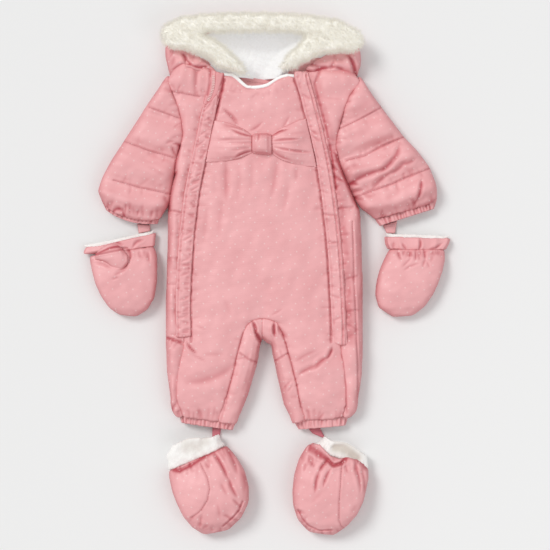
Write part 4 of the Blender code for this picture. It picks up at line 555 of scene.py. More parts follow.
def press(points, fold, lips):
    """Height change in mm that one crease makes at each point, lips being how high it is banked."""
    x0, y0, x1, y1, bow, depth, half = fold
    along_x, along_y = x1 - x0, y1 - y0
    length = math.hypot(along_x, along_y)
    change = np.zeros(len(points))
    reach = 4 * half + abs(bow)
    near = ((points[:, 0] > min(x0, x1) - reach) & (points[:, 0] < max(x0, x1) + reach)
            & (points[:, 1] > min(y0, y1) - reach) & (points[:, 1] < max(y0, y1) + reach))
    dx, dy = points[near, 0] - x0, points[near, 1] - y0
    share = (dx * along_x + dy * along_y) / length ** 2
    inside = np.clip(share, 0, 1)
    # the crease bows, and narrows and fades towards both ends
    off = (dx * along_y - dy * along_x) / length - bow * 4 * inside * (1 - inside)
    width = 1.25 * half * (0.55 + 0.45 * np.sqrt(np.clip(4 * inside * (1 - inside), 0, 1)))
    beyond = np.maximum(0, np.maximum(-share, share - 1)) * length
    fade = (np.exp(-(beyond / (1.2 * half)) ** 2)
            * (0.35 + 0.65 * np.clip(5 * inside * (1 - inside), 0, 1)))
    dip = np.exp(-(off / width) ** 2)
    bank = (np.exp(-((off - 2.1 * width) / width) ** 2)
            + 0.6 * np.exp(-((off + 2.1 * width) / width) ** 2))
    change[near] = depth * fade * (lips * bank - dip)
    return change


def crease_painted_shade(points, fold):
    """How much painted shade the core of one crease takes, in mm of depth, a wide crease less than
    a sharp one.
    """
    return -press(points, (*fold[:6], 0.6 * fold[6]), 0) * min(1, 1.9 / fold[6])


def along(points, line):
    """Distance from each point to a line in mm, and the side it is on: 1 is right of travel."""
    best = np.full(len(points), 1e9)
    side = np.ones(len(points))
    for (x0, y0), (x1, y1) in zip(line, line[1:]):
        run = np.array((x1 - x0, y1 - y0))
        length = np.linalg.norm(run)
        rel = points - (x0, y0)
        share = np.clip(rel @ run / length ** 2, 0, 1)
        gap = np.linalg.norm(rel - share[:, None] * run, axis=1)
        nearer = gap < best
        best[nearer] = gap[nearer]
        side[nearer] = np.sign(rel[:, 0] * run[1] - rel[:, 1] * run[0])[nearer]
    return best, side


def pucker_folds(node):
    """Short uneven puckers that a piece's seams draw in the cloth."""
    folds = []
    for number, (pieces, line, spacing, short, long, depth, sides) in enumerate(PUCKERS):
        if node not in pieces.split():
            continue
        rng = np.random.default_rng(PUCKER_SEED + number)
        for (x0, y0), (x1, y1) in zip(line, line[1:]):
            run = math.hypot(x1 - x0, y1 - y0)
            for _ in range(max(1, round(run / spacing))):
                share = rng.uniform(0, 1)
                which = sides or rng.choice((-1, 1))
                turn = math.atan2(y1 - y0, x1 - x0) - which * math.pi / 2 + rng.normal(0, 0.35)
                size = rng.uniform(short, long) * rng.uniform(0.5, 1)
                x, y = x0 + share * (x1 - x0), y0 + share * (y1 - y0)
                folds.append((x, y, x + size * math.cos(turn), y + size * math.sin(turn),
                              rng.normal(0, 0.06) * size, depth * rng.uniform(0.4, 1.3),
                              rng.uniform(1.5, 3.0)))
    return folds


def gather_folds(node):
    """The small upright folds of a gathered band."""
    if node not in GATHERS:
        return []
    x0, y0, x1, y1, across, spacing, depth = GATHERS[node]
    rng = np.random.default_rng(len(node) + int(abs(x0)))
    length = math.hypot(x1 - x0, y1 - y0)
    out_x, out_y = (y0 - y1) / length * across, (x1 - x0) / length * across
    folds = []
    place = spacing / 2
    while place < length:
        x, y = x0 + (x1 - x0) * place / length, y0 + (y1 - y0) * place / length
        slant = rng.normal(0, 0.9)
        folds.append((x - out_x - slant, y - out_y, x + out_x + slant, y + out_y,
                      rng.normal(0, 0.5), depth * rng.uniform(0.5, 1.2), rng.uniform(1.0, 1.4)))
        place += spacing * rng.uniform(0.65, 1.35)
    return folds


def merged(node):
    """A copy of a node's own mesh with its doubled corners joined and no material."""
    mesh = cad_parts[node].data.copy()
    bm = bmesh.new()
    bm.from_mesh(mesh)
    bmesh.ops.remove_doubles(bm, verts=bm.verts, dist=1e-6)
    bm.to_mesh(mesh)
    bm.free()
    mesh.materials.clear()
    return mesh


def shown(name, data):
    """A new object in the scene."""
    obj = bpy.data.objects.new(name, data)
    bpy.context.collection.objects.link(obj)
    return obj


def settled(obj, name):
    """The object with its modifiers applied, as a plain mesh object."""
    depsgraph = bpy.context.evaluated_depsgraph_get()
    mesh = bpy.data.meshes.new_from_object(obj.evaluated_get(depsgraph))
    mesh.name = name
    bpy.data.objects.remove(obj)
    return shown(name, mesh)


def even_cloth(node, name, step, passes):
    """A node's shape as one even, gently rounded mesh, with the step in mm."""
    work = shown(name + "_work", merged(node))
    if node in THIN_WALLS:
        fuller = work.modifiers.new("fuller", "DISPLACE")
        fuller.mid_level = 0.0
        fuller.strength = THIN_WALLS[node] * MM
    even = work.modifiers.new("even", "REMESH")
    even.mode = "VOXEL"
    even.voxel_size = step * MM
    even.use_smooth_shade = True
    relax = work.modifiers.new("relax", "SMOOTH")
    relax.factor = 0.5
    relax.iterations = passes
    return settled(work, name)


def coordinates(mesh):
    """Corner positions in mm and corner normals."""
    places = np.empty(len(mesh.vertices) * 3)
    mesh.vertices.foreach_get("co", places)
    normals = np.empty(len(mesh.vertices) * 3)
    mesh.vertex_normals.foreach_get("vector", normals)
    return places.reshape(-1, 3) / MM, normals.reshape(-1, 3)


def lay_pattern(mesh, turn):
    """Gives cloth its own flat map in metres, turned to the piece's grain.

    The top and underside take X and Y, and the walls the two ways in which they run.
    """
    count = len(mesh.loops)
    faces = len(mesh.polygons)
    corners = np.empty(count, dtype=np.int64)
    mesh.loops.foreach_get("vertex_index", corners)
    sizes = np.empty(faces, dtype=np.int64)
    mesh.polygons.foreach_get("loop_total", sizes)
    ways = np.empty(faces * 3)
    mesh.polygons.foreach_get("normal", ways)
    ways = np.repeat(np.abs(ways.reshape(-1, 3)), sizes, axis=0)
    places = (coordinates(mesh)[0] * MM)[corners]
    flat = places[:, :2].copy()
    front = (ways[:, 1] > ways[:, 0]) & (ways[:, 1] > 1.3 * ways[:, 2])
    end = (ways[:, 0] >= ways[:, 1]) & (ways[:, 0] > 1.3 * ways[:, 2])
    flat[front] = places[front][:, (0, 2)]
    flat[end] = places[end][:, (2, 1)]
    angle = math.radians(turn)
    spin = np.array(((math.cos(angle), -math.sin(angle)), (math.sin(angle), math.cos(angle))))
    layer = mesh.uv_layers.new(name="cloth")
    layer.data.foreach_set("uv", (flat @ spin).ravel())


def creases(points, node):
    """Height change in mm that a piece's folds, puckers and seams make, and how much painted shade
    they take, in mm of depth.
    """
    change, painted_shade = np.zeros(len(points)), np.zeros(len(points))
    for pieces, folds in FOLDS.items():
        if node in pieces.split():
            for fold in folds:
                change += press(points, fold, FOLD_BANK)
                painted_shade = np.maximum(painted_shade, crease_painted_shade(points, fold))
    # puckers that meet go no deeper than the deepest of them
    dips, banks = np.zeros(len(points)), np.zeros(len(points))
    for fold in pucker_folds(node) + gather_folds(node):
        pressed = press(points, fold, PUCKER_BANK)
        dips, banks = np.minimum(dips, pressed), np.maximum(banks, pressed)
        painted_shade = np.maximum(painted_shade, 0.9 * crease_painted_shade(points, fold))
    change += dips + banks
    # dips in the cloth add painted shade too, as do the seams below
    painted_shade += 0.3 * np.clip(-change, 0, 3)
    for line, depth, half, rise in rows_for(SEAMS, node):
        gap = along(points, line)[0]
        sewn = depth * np.exp(-(gap / half) ** 2)
        change -= sewn
        if node.startswith("sleeve"):
            change -= depth * np.exp(-(gap / QUILT_REACH) ** 2)
        painted_shade += 0.9 * sewn
        change += rise * np.exp(-((gap - 2.2 * half) / half) ** 2)
    return change, painted_shade


def crease_cloth(obj, node, depth_scale):
    """Presses a piece's folds, seams, puckers and soft swells into its cloth, and paints shade into
    its folds and steep flanks.
    """
    cut = PIECES[node]
    mesh = obj.data
    places, normals = coordinates(mesh)
    points = places[:, :2]
    change, painted_shade = creases(points, node)
    seed = sum(ord(letter) for letter in node)
    change += sum(height * soft_noise(points, size, seed + step)
                  for height, size, step in SWELLS.get(cut.finish, ()))
    low, high = cut.heights
    share = np.clip((places[:, 2] - low) / (high - low), 0, 1)
    share = share * share * (3 - 2 * share)
    if node == "back_body":
        # only its underside is quilted, and it stays flat where it rests
        under = np.clip(-normals[:, 2] - 0.6, 0, 0.4) / 0.4 * (places[:, 2] < 3)
        lines = sum(np.exp(-((points[:, 1] - y) / 2.2) ** 2) for y in BACK_LINES)
        places[:, 2] += under * lines * 1.2
        share = share * 0
    places[:, 2] += share * change * depth_scale
    swell = cut.swell - THIN_WALLS.get(node, 0)
    places += normals * swell * np.clip((places[:, 2:3] - 1.5) / 3, 0, 1)
    draw_over(places, node)
    if min(v.co.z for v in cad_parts[node].data.vertices) / MM < REST_HEIGHT:
        places[:, 2] = np.maximum(places[:, 2], 0)
    mesh.vertices.foreach_set("co", (places * MM).ravel())
    # the fold attribute holds the painted shade, from 0 to 1
    fold = mesh.attributes.new("fold", "FLOAT", "POINT")
    mesh.update()
    # folds and steep flanks take painted shade, a deeper colour
    facing = coordinates(mesh)[1][:, 2]
    flank = np.clip((0.9 - np.abs(facing)) / 0.75, 0, 1)
    edge = PILE_FLANK_PAINTED_SHADE if FINISHES[cut.finish][1] == "fleece" else FLANK_PAINTED_SHADE
    deep = np.clip(painted_shade * share / FULL_SHADE_DEPTH + edge * flank, 0, 1)
    # where a seam hardly shows, its painted shade is mostly taken away
    for line, width in rows_for(FAINT, node):
        deep *= np.clip(along(points, line)[0] / width, 0.15, 1)
    fold.data.foreach_set("value", deep)
    lay_pattern(mesh, cut.turn)


def draw_over(places, node):
    """Pulls a piece's edges over or against the pieces beside it."""
    for edge, side, depth, reach, lift in rows_for(OVERLAPS, node):
        limit = np.interp(places[:, 0], *zip(*edge))
        share = np.clip(1 - side * (places[:, 1] - limit) / depth, 0, 1.2) ** 2
        places[:, 1] += share * np.interp(places[:, 0], *zip(*reach))
        places[:, 2] += share * lift
    if node in RISES:
        edge, depth, height = RISES[node]
        gap, side = along(places[:, :2], edge)
        beyond = np.interp(places[:, 1], (325, 345), (9, 45))
        share = np.clip(1 - gap / np.where(side > 0, depth, beyond), 0, 1)
        places[:, 2] += height * share * share * (3 - 2 * share)
    for x, y, across, up, *shift in rows_for(LEANS, node):
        near = np.exp(-((places[:, 0] - x) / across) ** 2 - ((places[:, 1] - y) / up) ** 2)
        places += near[:, None] * shift


def ride_along(obj, smooth=True):
    """Shades a piece smooth unless told not to, and lets it ride with the suit."""
    if smooth:
        obj.data.polygons.foreach_set("use_smooth", [True] * len(obj.data.polygons))
    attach(obj, BODY)
    return obj


def finish_piece(obj, node, finish):
    """Gives a cut piece its material and shows it in place of its solid."""
    obj.data.materials.clear()
    obj.data.materials.append(cloth_material(finish))
    ride_along(obj)
    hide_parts(node)


def dress(node):
    """Makes one cut piece's cloth over its solid, ready to show."""
    cut = PIECES[node]
    obj = even_cloth(node, node + "_cloth", cut.step, cut.passes)
    crease_cloth(obj, node, bpy.context.scene.snowsuit.crease_depth)
    finish_piece(obj, node, cut.finish)


# ---------------------------------------------------------------- node trees
def add(tree, kind, inputs=(), **settings):
    """Adds one node with its settings, and fills or links its sockets."""
    made = tree.nodes.new(kind)
    for key, value in settings.items():
        setattr(made, key, value)
    for socket, value in dict(inputs).items():
        target = made.inputs[socket]
        if isinstance(value, bpy.types.NodeSocket):
            tree.links.new(value, target)
        else:
            target.default_value = value
    return made


def mix_output(mixed):
    """The colour output of a Mix node, whose sockets share one name."""
    return next(s for s in mixed.outputs if s.type == "RGBA")


def rgba(colour):
    """A colour with full opacity, as a node's socket takes it."""
    return (*colour[:3], 1.0)


def new_material(name):
    """An empty material and its node tree."""
    material = bpy.data.materials.new(name)
    material.use_nodes = True
    material.node_tree.nodes.clear()
    return material, material.node_tree


def end_material(tree, surface):
    """Ends a material in one surface."""
    add(tree, "ShaderNodeOutputMaterial", {"Surface": surface.outputs["BSDF"]})


def woven_shell(name, light, dots, roughness):
    """Calendered polyester cloth: fine ribs across, a soft shine, pale pin dots.

    It gives the eye a bright satin skin with painted shade, a deeper pink, in its folds and on
    steep flanks.
    """
    settings = bpy.context.scene.snowsuit
    material, tree = new_material(name)
    cloth = add(tree, "ShaderNodeUVMap", uv_map="cloth").outputs["UV"]
    fold = add(tree, "ShaderNodeAttribute", attribute_name="fold").outputs["Fac"]
    # broad dyeing and pressing differences, about 45 mm across
    cloud = add(tree, "ShaderNodeTexNoise", {"Vector": cloth, "Scale": 22.0, "Detail": 3.0})
    clouds = {"Value": cloud.outputs["Fac"], "From Min": 0.3, "From Max": 0.7}
    shade = add(tree, "ShaderNodeMapRange", {**clouds, "To Min": 0.0, "To Max": 0.16})
    # painted shade from the fold attribute, with the broad mottle added, takes the cloth towards
    # the deeper colour
    depth = add(tree, "ShaderNodeMath", {0: fold, 1: 0.85}, operation="MULTIPLY")
    painted_shade_and_mottle = add(tree, "ShaderNodeMath", {0: depth.outputs[0], 1: shade.outputs[0]},
                 operation="ADD", use_clamp=True)
    base = add(tree, "ShaderNodeMix", {"Factor": painted_shade_and_mottle.outputs[0], "A": rgba(light),
                                      "B": rgba(settings.painted_shade_and_mottle_colour)}, data_type="RGBA")
    colour = mix_output(base)
    if dots:
        # pin dots of about 2 mm, 13 mm apart, in loose diagonal rows
        turned = add(tree, "ShaderNodeMapping", {"Vector": cloth, "Rotation": (0, 0, 0.785)})
        cells = add(tree, "ShaderNodeTexVoronoi",
                    {"Vector": turned.outputs[0], "Scale": 1 / settings.dot_spacing,
                     "Randomness": 0.45}, voronoi_dimensions="2D")
        radius = settings.dot_size / 2 / settings.dot_spacing
        spot = add(tree, "ShaderNodeMapRange",
                   {"Value": cells.outputs["Distance"], "From Min": radius * 1.45,
                    "From Max": radius * 0.4, "To Min": 0.0, "To Max": 0.36},
                   interpolation_type="SMOOTHSTEP")
        dotted = add(tree, "ShaderNodeMix", {"Factor": spot.outputs[0], "A": colour,
                                            "B": rgba(settings.dot_colour)}, data_type="RGBA")
        colour = mix_output(dotted)
    # the weave's ribs are about 0.4 mm apart, drawn at 2.6 mm so that they show at this size
    ribs = add(tree, "ShaderNodeTexWave", {"Vector": cloth, "Scale": 121.0, "Distortion": 1.6,
                                          "Detail": 2.0, "Detail Scale": 1.5},
               bands_direction="Y")
    # thick and thin places of the yarn, drawn at about 2.4 mm to match the ribs
    slub = add(tree, "ShaderNodeTexNoise", {"Vector": cloth, "Scale": 420.0, "Detail": 2.0})
    weave = add(tree, "ShaderNodeMath", {0: ribs.outputs["Fac"], 1: slub.outputs["Fac"]},
                operation="MULTIPLY")
    bump = add(tree, "ShaderNodeBump", {"Height": weave.outputs[0], "Strength": 0.32,
                                       "Distance": 0.0005})
    worn = add(tree, "ShaderNodeMapRange", {**clouds, "To Min": roughness - 0.05,
                                           "To Max": roughness + 0.06})
    surface = add(tree, "ShaderNodeBsdfPrincipled",
                  {"Base Color": colour, "Roughness": worn.outputs[0], "IOR": 1.5,
                   "Sheen Weight": 0.18, "Sheen Roughness": 0.4,
                   "Sheen Tint": (1.0, 0.86, 0.86, 1.0), "Normal": bump.outputs[0]})
    end_material(tree, surface)
    return material


def pile_fleece(name, light, shade, bobble, strength, glow):
    """Knitted pile fleece: a matt, warm white nap of small loops, bobble metres across.

    It gives the eye soft bobbles with painted shade, a faint grey, in the hollows between them,
    painted shade in its folds, and a faint painted glow that stands in for light scattered in the
    pile.
    """
    material, tree = new_material(name)
    place = add(tree, "ShaderNodeTexCoord").outputs["Object"]
    loops = add(tree, "ShaderNodeTexVoronoi", {"Vector": place, "Scale": 1 / bobble,
                                              "Randomness": 1.0})
    fuzz = add(tree, "ShaderNodeTexNoise", {"Vector": place, "Scale": 0.9 / bobble,
                                           "Detail": 4.0, "Roughness": 0.65})
    # the hollows between the loops are painted a greyer white, as painted shade, and the bump
    # presses them in
    hollow = add(tree, "ShaderNodeMath", {0: loops.outputs["Distance"],
                                         1: fuzz.outputs["Fac"]}, operation="MULTIPLY")
    tone = add(tree, "ShaderNodeMapRange", {"Value": hollow.outputs[0], "From Min": 0.1,
                                           "From Max": 0.55})
    pile = add(tree, "ShaderNodeMix", {"Factor": tone.outputs[0], "A": rgba(light),
                                      "B": rgba(shade)}, data_type="RGBA")
    # painted shade in folds and on steep flanks, from the fold attribute
    fold = add(tree, "ShaderNodeAttribute", attribute_name="fold").outputs["Fac"]
    base = add(tree, "ShaderNodeMix", {"Factor": fold, "A": mix_output(pile),
                                      "B": rgba(linear("#C9BFB4"))}, data_type="RGBA")
    bump = add(tree, "ShaderNodeBump", {"Height": hollow.outputs[0], "Strength": strength,
                                       "Distance": 0.0012}, invert=True)
    # the emission is a painted glow
    surface = add(tree, "ShaderNodeBsdfPrincipled",
                  {"Base Color": mix_output(base), "Roughness": 0.92, "Sheen Weight": 0.35,
                   "Sheen Roughness": 0.5, "Normal": bump.outputs[0],
                   "Emission Color": rgba(light), "Emission Strength": glow})
    end_material(tree, surface)
    return material


def acrylic_fur(name, light, shade, loose):
    """Acrylic faux fur: fine cream fibres that let light through and blur into soft tufts.

    White pile scatters light many times over; a faint painted glow, by emission, stands in for it.
    """
    material, tree = new_material(name)
    place = add(tree, "ShaderNodeTexCoord").outputs["Object"]
    # tufts about 11 mm across, and fibres drawn at 1.4 mm so that they show at this size
    tuft = add(tree, "ShaderNodeTexNoise", {"Vector": place, "Scale": 90.0, "Detail": 3.0,
                                           "Roughness": 0.6})
    fibre = add(tree, "ShaderNodeTexNoise", {"Vector": place, "Scale": 700.0, "Detail": 2.0})
    mixed = add(tree, "ShaderNodeMath", {0: tuft.outputs["Fac"], 1: fibre.outputs["Fac"]},
                operation="MULTIPLY")
    tone = add(tree, "ShaderNodeMapRange", {"Value": mixed.outputs[0], "From Min": 0.12,
                                           "From Max": 0.34})
    base = add(tree, "ShaderNodeMix", {"Factor": tone.outputs[0], "A": rgba(shade),
                                      "B": rgba(light)}, data_type="RGBA")
    # the emission is a painted glow, stronger on the loose strands
    surface = add(tree, "ShaderNodeBsdfPrincipled",
                  {"Base Color": mix_output(base), "Roughness": 0.95, "Sheen Weight": 0.15,
                   "Sheen Roughness": 0.6, "Specular IOR Level": 0.1,
                   "Emission Color": rgba(linear("#F6F4EE")),
                   "Emission Strength": 0.33 if loose else 0.25})
    if loose:
        through = add(tree, "ShaderNodeBsdfTranslucent", {"Color": mix_output(base)})
        soft = add(tree, "ShaderNodeMixShader", {0: 0.5, 1: surface.outputs[0],
                                                2: through.outputs[0]})
        add(tree, "ShaderNodeOutputMaterial", {"Surface": soft.outputs[0]})
    else:
        end_material(tree, surface)
    return material


def spun_thread(name, colour):
    """Spun polyester sewing thread: matt, with a faint twist."""
    material, tree = new_material(name)
    place = add(tree, "ShaderNodeTexCoord").outputs["Object"]
    # the twist is about 0.6 mm long, as on the real thread
    twist = add(tree, "ShaderNodeTexNoise", {"Vector": place, "Scale": 1600.0, "Detail": 1.0})
    tone = add(tree, "ShaderNodeMix", {"Factor": twist.outputs["Fac"], "A": rgba(colour),
                                      "B": rgba(tuple(c * 0.72 for c in colour))},
               data_type="RGBA")
    bump = add(tree, "ShaderNodeBump", {"Height": twist.outputs["Fac"], "Strength": 0.4,
                                       "Distance": 0.0002})
    surface = add(tree, "ShaderNodeBsdfPrincipled",
                  {"Base Color": mix_output(tone), "Roughness": 0.7, "Normal": bump.outputs[0]})
    end_material(tree, surface)
    return material


def moulded_coil(name, colour):
    """Moulded nylon zip coil: smooth, a little glossier than the cloth."""
    material, tree = new_material(name)
    place = add(tree, "ShaderNodeTexCoord").outputs["Object"]
    # faint mould grain, about 1.4 mm
    grain = add(tree, "ShaderNodeTexNoise", {"Vector": place, "Scale": 700.0, "Detail": 2.0})
    rough = add(tree, "ShaderNodeMapRange", {"Value": grain.outputs["Fac"], "To Min": 0.3,
                                            "To Max": 0.48})
    surface = add(tree, "ShaderNodeBsdfPrincipled",
                  {"Base Color": rgba(colour), "Roughness": rough.outputs[0], "IOR": 1.53})
    end_material(tree, surface)
    return material


def cloth_material(finish):
    """The shared material of one finish, made once."""
    settings = bpy.context.scene.snowsuit
    name = FINISHES[finish][0]
    if name in bpy.data.materials:
        return bpy.data.materials[name]
    shells = {"shell": (settings.shell_colour, True, 0.5),
              "bow": (settings.shell_colour, True, 0.5),
              "trim": (settings.shell_colour, False, 0.5),
              "sole": (settings.shell_colour, False, 0.62),
              "tape": (linear("#EBA5A8"), False, 0.6), "ribbon": (linear("#D67C88"), False, 0.6)}
    # each pile's last number is its painted glow; the hood's pile is greyer and glows more, which
    # evens out the shade under the fur
    piles = {"binding": (linear("#FFFFFF"), linear("#F4F2F0"), 1.2 * MM, 0.1, 0.05),
             "hood_pile": (linear("#DDDDDE"), linear("#D6D5D4"), 2.6 * MM, 0.14, 0.26),
             "fleece": (settings.fleece_colour, linear("#ECE9E5"), 2.6 * MM, 0.14, 0.10)}
    furs = {"fur": (settings.fur_colour, linear("#E5E2DA"), False),
            "strand": (settings.fur_colour, linear("#E5E2DA"), True),
            "nap": (settings.fleece_colour, linear("#E6E2DC"), True)}
    for make, looks in ((woven_shell, shells), (pile_fleece, piles), (acrylic_fur, furs)):
        if finish in looks:
            return make(name, *looks[finish])
    if finish == "thread":
        return spun_thread(name, linear("#D98F94"))
    return moulded_coil(name, linear("#F3CDCB"))


# ---------------------------------------------------------------- geometry nodes
def new_tree(name, sockets):
    """A Geometry Nodes tree with a geometry input and output, and what its named inputs give."""
    tree = bpy.data.node_groups.new(name, "GeometryNodeTree")
    tree.interface.new_socket("Geometry", in_out="INPUT", socket_type="NodeSocketGeometry")
    for label, value in sockets.items():
        kind = "NodeSocketInt" if isinstance(value, int) else "NodeSocketFloat"
        tree.interface.new_socket(label, in_out="INPUT", socket_type=kind).default_value = value
    tree.interface.new_socket("Geometry", in_out="OUTPUT", socket_type="NodeSocketGeometry")
    return tree, tree.nodes.new("NodeGroupInput").outputs


def end_tree(tree, geometry, material):
    """Ends a tree in real geometry with its material set."""
    real = add(tree, "GeometryNodeRealizeInstances", {"Geometry": geometry})
    painted = add(tree, "GeometryNodeSetMaterial", {"Geometry": real.outputs[0],
                                                   "Material": material})
    add(tree, "NodeGroupOutput", {"Geometry": painted.outputs[0]})


def grown(mesh, tree, values, name, smooth=True):
    """Runs a tree on a mesh with its inputs set, and lets the plain result ride along."""
    ground = shown(name + "_ground", mesh)
    modifier = ground.modifiers.new("grow", "NODES")
    modifier.node_group = tree
    for item in tree.interface.items_tree:
        if item.item_type == "SOCKET" and item.in_out == "INPUT" and item.name in values:
            modifier[item.identifier] = values[item.name]
    return ride_along(settled(ground, name), smooth)


def strand_tree(name, material):
    """Grows bent, tapered strands out of a surface, leaning together in tufts."""
    tree, given = new_tree(name, {
        "Density": 100000.0, "Length": 0.01, "Width": 0.001, "Lean": 0.8, "Tuft Size": 0.02,
        "Lowest Facing": -0.3, "Seed": 1})
    normal = add(tree, "GeometryNodeInputNormal")
    facing = add(tree, "ShaderNodeSeparateXYZ", {0: normal.outputs[0]})
    kept = add(tree, "FunctionNodeCompare", {0: facing.outputs["Z"], 1: given["Lowest Facing"]},
               data_type="FLOAT", operation="GREATER_THAN")
    roots = add(tree, "GeometryNodeDistributePointsOnFaces",
                {"Mesh": given["Geometry"], "Selection": kept.outputs[0],
                 "Density": given["Density"], "Seed": given["Seed"]})
    # one strand: a thin three-sided cone, bent towards its tip
    strand = add(tree, "GeometryNodeMeshCone",
                 {"Vertices": 3, "Side Segments": 2, "Radius Top": 0.0001,
                  "Radius Bottom": given["Width"], "Depth": given["Length"]}, fill_type="NONE")
    spot = add(tree, "GeometryNodeInputPosition")
    parts = add(tree, "ShaderNodeSeparateXYZ", {0: spot.outputs[0]})
    tall = add(tree, "ShaderNodeMath", {0: parts.outputs["Z"], 1: given["Length"]},
               operation="DIVIDE")
    bent = add(tree, "ShaderNodeMath", {0: tall.outputs[0], 1: tall.outputs[0]},
               operation="MULTIPLY")
    over = add(tree, "ShaderNodeMath", {0: bent.outputs[0], 1: given["Length"]},
               operation="MULTIPLY")
    shift = add(tree, "ShaderNodeMath", {0: over.outputs[0], 1: 0.45}, operation="MULTIPLY")
    push = add(tree, "ShaderNodeCombineXYZ", {"X": shift.outputs[0]})
    curved = add(tree, "GeometryNodeSetPosition", {"Geometry": strand.outputs["Mesh"],
                                                  "Offset": push.outputs[0]})
    # neighbouring strands lean the same way
    root_place = add(tree, "GeometryNodeInputPosition")
    scale = add(tree, "ShaderNodeMath", {0: 1.0, 1: given["Tuft Size"]}, operation="DIVIDE")
    wind = add(tree, "ShaderNodeTexNoise", {"Vector": root_place.outputs[0],
                                           "Scale": scale.outputs[0], "Detail": 2.0})
    centred = add(tree, "ShaderNodeVectorMath", {0: wind.outputs["Color"], 1: (0.5, 0.5, 0.5)},
                  operation="SUBTRACT")
    doubled = add(tree, "ShaderNodeMath", {0: given["Lean"], 1: 4.0}, operation="MULTIPLY")
    swept = add(tree, "ShaderNodeVectorMath", {0: centred.outputs[0], "Scale": doubled.outputs[0]},
                operation="SCALE")
    odd = add(tree, "FunctionNodeRandomValue", {"Min": (-0.35, -0.35, -0.2),
                                               "Max": (0.35, 0.35, 0.2),
                                               "Seed": given["Seed"]},
              data_type="FLOAT_VECTOR")
    loose = add(tree, "ShaderNodeVectorMath", {0: swept.outputs[0], 1: odd.outputs[0]},
                operation="ADD")
    way = add(tree, "ShaderNodeVectorMath", {0: roots.outputs["Normal"], 1: loose.outputs[0]},
              operation="ADD")
    aim = add(tree, "FunctionNodeAlignRotationToVector", {"Vector": way.outputs[0]}, axis="Z")
    spin = add(tree, "FunctionNodeRandomValue", {2: 0.0, 3: 6.283, "Seed": given["Seed"]},
               data_type="FLOAT")
    own = add(tree, "FunctionNodeAxisAngleToRotation",
              {"Axis": (0, 0, 1), "Angle": spin.outputs[1]})
    turned = add(tree, "FunctionNodeRotateRotation", {"Rotation": aim.outputs[0],
                                                     "Rotate By": own.outputs[0]},
                 rotation_space="LOCAL")
    size = add(tree, "FunctionNodeRandomValue", {2: 0.6, 3: 1.15, "Seed": given["Seed"]},
               data_type="FLOAT")
    fur = add(tree, "GeometryNodeInstanceOnPoints",
              {"Points": roots.outputs["Points"], "Instance": curved.outputs[0],
               "Rotation": turned.outputs[0], "Scale": size.outputs[1]})
    end_tree(tree, fur.outputs[0], material)
    return tree


def run_tree(name, material, box):
    """Places one small part again and again along lines, turned to follow them.

    box makes a block, as a zip tooth is; otherwise the part is a short round stitch.
    """
    tree, given = new_tree(name, {
        "Pitch": 0.004, "Length": 0.003, "Width": 0.001, "Height": 0.001, "Seed": 1})
    lines = add(tree, "GeometryNodeMeshToCurve", {"Mesh": given["Geometry"]})
    points = add(tree, "GeometryNodeCurveToPoints", {"Curve": lines.outputs[0],
                                                    "Length": given["Pitch"]}, mode="LENGTH")
    if box:
        size = add(tree, "ShaderNodeCombineXYZ", {"X": given["Width"], "Y": given["Height"],
                                                 "Z": given["Length"]})
        part = add(tree, "GeometryNodeMeshCube", {"Size": size.outputs[0]})
    else:
        radius = add(tree, "ShaderNodeMath", {0: given["Width"], 1: 0.5}, operation="MULTIPLY")
        part = add(tree, "GeometryNodeMeshCylinder", {"Vertices": 6, "Radius": radius.outputs[0],
                                                     "Depth": given["Length"]})
    sizes = add(tree, "FunctionNodeRandomValue", {2: 0.85, 3: 1.1, "Seed": given["Seed"]},
                data_type="FLOAT")
    placed = add(tree, "GeometryNodeInstanceOnPoints",
                 {"Points": points.outputs["Points"], "Instance": part.outputs["Mesh"],
                  "Rotation": points.outputs["Rotation"], "Scale": sizes.outputs[1]})
    end_tree(tree, placed.outputs[0], material)
    return tree


# ---------------------------------------------------------------- laying things on the cloth
def cloth_surface(names):
    """A tree of the finished cloth's faces, to seat sewing on."""
    verts, faces = [], []
    for name in names:
        mesh = bpy.data.objects[name + "_cloth"].data
        base = len(verts)
        verts.extend(v.co for v in mesh.vertices)
        faces.extend([base + i for i in p.vertices] for p in mesh.polygons)
    return BVHTree.FromPolygons(verts, faces)


def seat(surface, x, y, lift):
    """Height in metres at which something lies on the cloth at x, y in mm."""
    hit = surface.ray_cast(Vector((x * MM, y * MM, 0.2)), Vector((0, 0, -1)))[0]
    return None if hit is None else hit.z + lift * MM


def seated_lines(name, rows, lift):
    """Lines laid on the cloth as one mesh of edges, with a point about every 2 mm."""
    verts, edges = [], []
    for pieces, line in rows:
        surface = cloth_surface(pieces.split())
        last = None
        for (x0, y0), (x1, y1) in zip(line, line[1:]):
            steps = max(1, round(math.hypot(x1 - x0, y1 - y0) / 2))
            for step in range(steps):
                x = x0 + (x1 - x0) * step / steps
                y = y0 + (y1 - y0) * step / steps
                z = seat(surface, x, y, lift)
                if z is None:
                    last = None
                    continue
                verts.append((x * MM, y * MM, z))
                if last is not None:
                    edges.append((last, len(verts) - 1))
                last = len(verts) - 1
    mesh = bpy.data.meshes.new(name)
    mesh.from_pydata(verts, edges, [])
    return mesh


